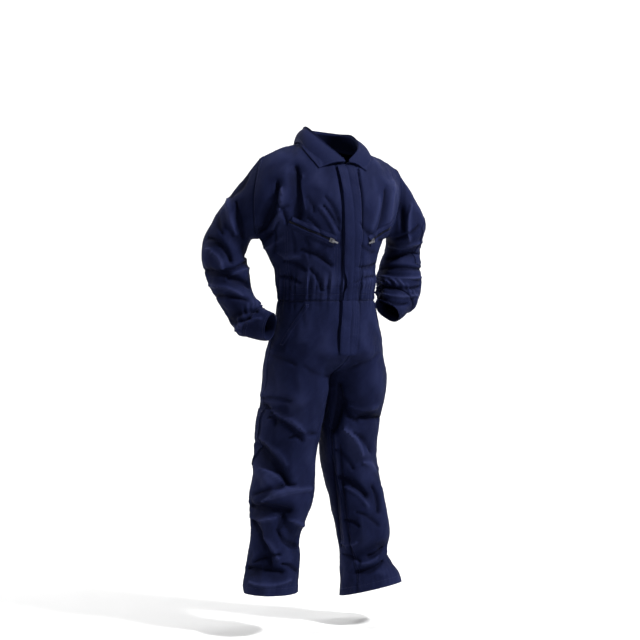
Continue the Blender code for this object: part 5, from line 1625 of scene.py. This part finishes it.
def make_front_closing():
    """The concealed front zip, and the flap over it, which stands off along its free edge."""
    tall = np.linspace(FRONT_ZIP_TOP, FRONT_ZIP_FOOT, 200)[:, None]
    wide = np.linspace(-FRONT_ZIP_HALF, FRONT_ZIP_HALF, 9)[None, :]
    pieces["front_zip"] = laid("front_zip_tape", front_ground, wide + 0 * tall,
                               tall + 0 * wide, ZIP_TAPE, ZIP_LIFT, FRONT_ZIP_WALL)
    girth, height = rounded_patch(PLACKET_FREE, PLACKET_SEWN, PLACKET_TOP, PLACKET_FOOT)
    free = smooth((PLACKET_SEWN - girth) / (PLACKET_SEWN - PLACKET_FREE), 0.45, 1.0)
    wave = 0.75 + sum(share * np.sin(2 * math.pi * rate * height + phase)
                      for rate, phase, share in FLAP_WAVES)
    calm = smooth(PLACKET_TOP - height, 0.0, 0.02) * smooth(height - PLACKET_FOOT, 0.0, 0.06)
    pieces["placket"] = laid("front_flap", front_ground, girth, height, DRILL, PLACKET_LIFT,
                             PLACKET_WALL, PLACKET_ROWS[:1], FLAP_STAND * free * wave * calm)
    lift = PLACKET_LIFT + PLACKET_WALL - CHANNEL
    line = np.linspace(PLACKET_TOP - 0.002, PLACKET_FOOT + 0.012, 260)
    for inset in PLACKET_ROWS:
        row_on(front_ground, PLACKET_SEWN - inset, line, "trim", lift)
    fly = np.linspace(0, 1, 120)
    bend = smooth(fly, 0.62, 1.0)
    for inset in (0.0, FLY_GAP):
        row_on(front_ground, PLACKET_SEWN - FLY_INSET - inset - bend * FLY_BEND,
               FLY_TOP - (fly * FLY_LENGTH - inset * 0.5 * bend), "trim", lift)


def bartacks(ground, places, height, lift):
    """Short dense bars of thread across places on a ground."""
    reach = np.linspace(-BARTACK_HALF, BARTACK_HALF, 8)
    for girth in places:
        for shift in BARTACK_THREADS:
            row_on(ground, girth + reach, height + shift, "trim", lift)


def make_chest_zips():
    """Sloping chest zips: tape, teeth, and a turned lip above and below."""
    slope = np.array(CHEST_ZIP_INNER), np.array(CHEST_ZIP_OUTER)
    for side, word in SIDES:
        girth, height = band_places(*slope, CHEST_ZIP_HALF, side, 0)
        pieces["chest_zip_" + word] = laid("chest_zip_tape_" + word, front_ground, girth,
                                           height, ZIP_TAPE, ZIP_LIFT, ZIP_WALL)
        for edge, rank in (("upper", 1), ("lower", -1)):
            offset = rank * (CHEST_ZIP_HALF + LIP_GAP + (CHEST_LIP - LIP_OVER) / 2)
            girth, height = band_places(*slope, (CHEST_LIP + LIP_OVER) / 2, side, offset)
            inward = np.linspace(1, 0, girth.shape[1])[::rank]
            stand = LIP_RISE * smooth(inward, 0.30, 0.62) + 0 * girth
            pieces["chest_lip_" + edge + "_" + word] = laid(
                "chest_welt_" + edge + "_" + word, front_ground, girth, height, DRILL,
                LAY_LIFT, WALL, (), stand)
            middle = girth.shape[1] // 2 + rank
            row_on(front_ground, girth[:, middle], height[:, middle], "trim",
                   LAY_LIFT + WALL + THREAD_RISE)
        start = slope[0] + (slope[1] - slope[0]) * CHEST_TEETH_START
        teeth("chest_zip_teeth_" + word, front_ground, start, slope[1], side, ZIP_TEETH)
        for inset in CHEST_BAG_ROWS:
            for (place, top, count), shift in ((CHEST_BAG_INNER, -inset),
                                               (CHEST_BAG_OUTER, inset)):
                row_on(front_ground, side * (place + shift),
                       np.linspace(top, CHEST_BAG_FOOT, count), "body")


def make_pockets():
    """Slanted hip pocket edges, the rule pocket behind the right leg, the sleeve pocket."""
    laid_lift = LAY_LIFT + LAY_WALL
    for side, word in SIDES:
        girth, height = band_places(HIP_POCKET_TOP, HIP_POCKET_FOOT, HIP_POCKET_EDGE / 2,
                                    side, 0)
        pieces["hip_pocket_" + word] = laid("hip_pocket_edge_" + word, front_ground, girth,
                                            height, DRILL, LAY_LIFT, LAY_WALL, (0.0016,))
        for share in HIP_POCKET_ROWS:
            column = int(share * (girth.shape[1] - 1))
            row_on(front_ground, girth[:, column], height[:, column], "trim", laid_lift)
        for place, end in (HIP_POCKET_TOP, HIP_POCKET_FOOT):
            bartacks(front_ground, (side * place,), end, laid_lift)
    leg = side_ground(RIGHT)
    left, right, top, _ = RULE_POCKET
    girth, height = rounded_patch(*RULE_POCKET)
    pieces["rule_pocket"] = laid("rule_pocket_patch", leg, girth, height, DRILL, LAY_LIFT,
                                 RULE_POCKET_WALL, RULE_POCKET_ROWS)
    lift = LAY_LIFT + RULE_POCKET_WALL
    for inset in RULE_POCKET_ROWS:
        row_on(leg, *inset_row(girth, height, inset), "trim", lift - THREAD_RISE)
    row_on(leg, np.linspace(left, right, 60), top - RULE_POCKET_HEM, "trim", lift)
    bartacks(leg, (left + 0.004, right - 0.004), top - 0.004, lift + BARTACK_RISE)
    numbers = skin.numbers["sleeve", LEFT, 0]
    arm = Ground(numbers, numbers.shape[1] // 2, "ring")
    left, right, start, stop = SLEEVE_POCKET
    girth, height = rounded_patch(left, right, -start, -stop)
    pieces["sleeve_pocket"] = laid("sleeve_pocket_patch", arm, girth, -height, DRILL, LAY_LIFT,
                                   LAY_WALL, SLEEVE_POCKET_ROWS)
    for inset in SLEEVE_POCKET_ROWS:
        line_girth, line_height = inset_row(girth, height, inset)
        row_on(arm, line_girth, -line_height, "trim", laid_lift - CHANNEL)
    row_on(arm, np.linspace(left, right, 60), start + SLEEVE_POCKET_HEM, "trim", laid_lift)
    bartacks(arm, (left + 0.003, right - 0.003), start + 0.003, laid_lift)


def declare_cloth():
    """Every cloth piece stands for its solid, which is hidden."""
    for node, piece in pieces.items():
        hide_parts(node)


make_panels()
sew_panels()
make_front_closing()
make_chest_zips()
make_pockets()
make_collar(DRILL)
declare_cloth()
for group, rows in thread_rows.items():
    stitches("stitches_" + group, rows, SEWING)
for node in ("slider_right", "slider_left", "pull_right", "pull_left"):
    fitting = bpy.data.objects[node]
    fitting.data.materials.clear()
    fitting.data.materials.append(SATIN_NICKEL)

# ---- Floor, light and camera ----------------------------------------------------------------
FLOOR_Z = -0.945
FLOOR_NEAR = -2.5        # the floor runs back from here, bends up, and ends as a backdrop
FLOOR_BEND = 1.2
BEND_RADIUS = 0.8
BACKDROP_TOP = 3.2
FLOOR_HALF = 4.0
SUIT_MIDDLE = (0.0, 0.0, -0.42)
# square soft lights: place in the three-quarter direction, width, watts, what they light
LIGHTS = {
    "key": ((2.0, -1.0, 1.6), 0.36, 180.0, SUIT_MIDDLE),
    "fill": ((-0.6, -2.5, 1.2), 0.6, 12.0, SUIT_MIDDLE),
    "rim_left": ((-2.1, 0.2, 0.6), 0.6, 30.0, SUIT_MIDDLE),
    "backdrop_left": ((-1.5, 0.8, 2.0), 0.8, 60.0, (1.2, 2.2, -0.6)),
    "backdrop_right": ((1.5, 0.8, 2.0), 0.8, 60.0, (-0.2, 2.6, -0.6)),
}
SKY_LIGHT = 0.05         # the surroundings as a light, and as the camera sees them
SKY_SEEN = 1.0
VIEW_CENTRE = -0.0117    # across, in the three-quarter direction
VIEW_HEIGHT = -0.3354
VIEW_DISTANCE = 3.0
VIEW_RISE = math.radians(2.0)
VIEW_WIDTH = 1.248       # breadth of the view at the suit


def make_floor():
    """Plain pale floor that curves up behind into a backdrop."""
    profile = [(FLOOR_NEAR, FLOOR_Z)]
    profile += [(FLOOR_BEND + BEND_RADIUS * math.sin(a),
                 FLOOR_Z + BEND_RADIUS * (1 - math.cos(a)))
                for a in np.linspace(0, math.pi / 2, 17)]
    profile += [(FLOOR_BEND + BEND_RADIUS, BACKDROP_TOP)]
    wide = np.linspace(-FLOOR_HALF, FLOOR_HALF, 3)
    depth, z = np.array(profile).T
    points = from_view(wide[None, :], depth[:, None], z[:, None]).reshape(-1, 3)
    number = np.arange(len(points)).reshape(len(profile), len(wide))
    mesh = bpy.data.meshes.new("floor")
    quads = corners_of(number).reshape(-1, 4)
    first = points[quads[0]]
    if np.cross(first[1] - first[0], first[2] - first[0])[2] < 0:
        quads = quads[:, ::-1]
    mesh.from_pydata(points.tolist(), [], quads.tolist())
    mesh.shade_smooth()
    finish = Finish("floor_paper", 0.9)
    finish.shader.inputs["Base Color"].default_value = (*FLOOR, 1.0)
    # seen from behind, the backdrop is clear, so that it hides nothing
    tree = finish.material.node_tree
    behind = tree.nodes.new("ShaderNodeNewGeometry")
    clear = tree.nodes.new("ShaderNodeBsdfTransparent")
    mix = tree.nodes.new("ShaderNodeMixShader")
    tree.links.new(behind.outputs["Backfacing"], mix.inputs["Fac"])
    tree.links.new(finish.shader.outputs["BSDF"], mix.inputs[1])
    tree.links.new(clear.outputs["BSDF"], mix.inputs[2])
    tree.links.new(mix.outputs["Shader"], tree.nodes["Material Output"].inputs["Surface"])
    mesh.materials.append(finish.material)
    floor = bpy.data.objects.new("floor", mesh)
    bpy.context.scene.collection.objects.link(floor)


def make_lights():
    """Every light at its place, turned towards what it lights."""
    for name, (place, width, power, target) in LIGHTS.items():
        data = bpy.data.lights.new(name, "AREA")
        data.shape = "SQUARE"
        data.size = width
        data.energy = power
        lamp = bpy.data.objects.new(name, data)
        bpy.context.scene.collection.objects.link(lamp)
        lamp.location = from_view(*place)
        way = unit(np.array(target) - from_view(*place))
        lamp.rotation_euler = (math.acos(-way[2]), 0.0, math.atan2(-way[0], way[1]))


def make_world():
    """Plain pale surroundings, faint as a light so that the folds keep their shade."""
    world = bpy.data.worlds.new("studio")
    world.use_nodes = True
    tree = world.node_tree
    sky = tree.nodes["Background"]
    sky.inputs["Color"].default_value = (1.0, 1.0, 1.0, 1.0)
    seen = tree.nodes.new("ShaderNodeLightPath")
    level = tree.nodes.new("ShaderNodeMapRange")
    level.inputs["To Min"].default_value = SKY_LIGHT
    level.inputs["To Max"].default_value = SKY_SEEN
    tree.links.new(seen.outputs["Is Camera Ray"], level.inputs["Value"])
    tree.links.new(level.outputs["Result"], sky.inputs["Strength"])
    bpy.context.scene.world = world


def make_camera():
    """Camera in the three-quarter direction, a little above the suit's middle."""
    data = bpy.data.cameras.new("camera")
    camera = bpy.data.objects.new("camera", data)
    bpy.context.scene.collection.objects.link(camera)
    centre = from_view(VIEW_CENTRE, 0.0, VIEW_HEIGHT)
    back_off = from_view(0.0, -math.cos(VIEW_RISE), math.sin(VIEW_RISE)) * VIEW_DISTANCE
    camera.location = tuple(centre + back_off)
    camera.rotation_euler = (math.pi / 2 - VIEW_RISE, 0.0, -VIEW_TURN)
    data.sensor_width = 36.0
    data.lens = data.sensor_width * VIEW_DISTANCE / VIEW_WIDTH
    bpy.context.scene.camera = camera


make_floor()
make_lights()
make_world()
bpy.context.scene.view_settings.view_transform = "Standard"
make_camera()
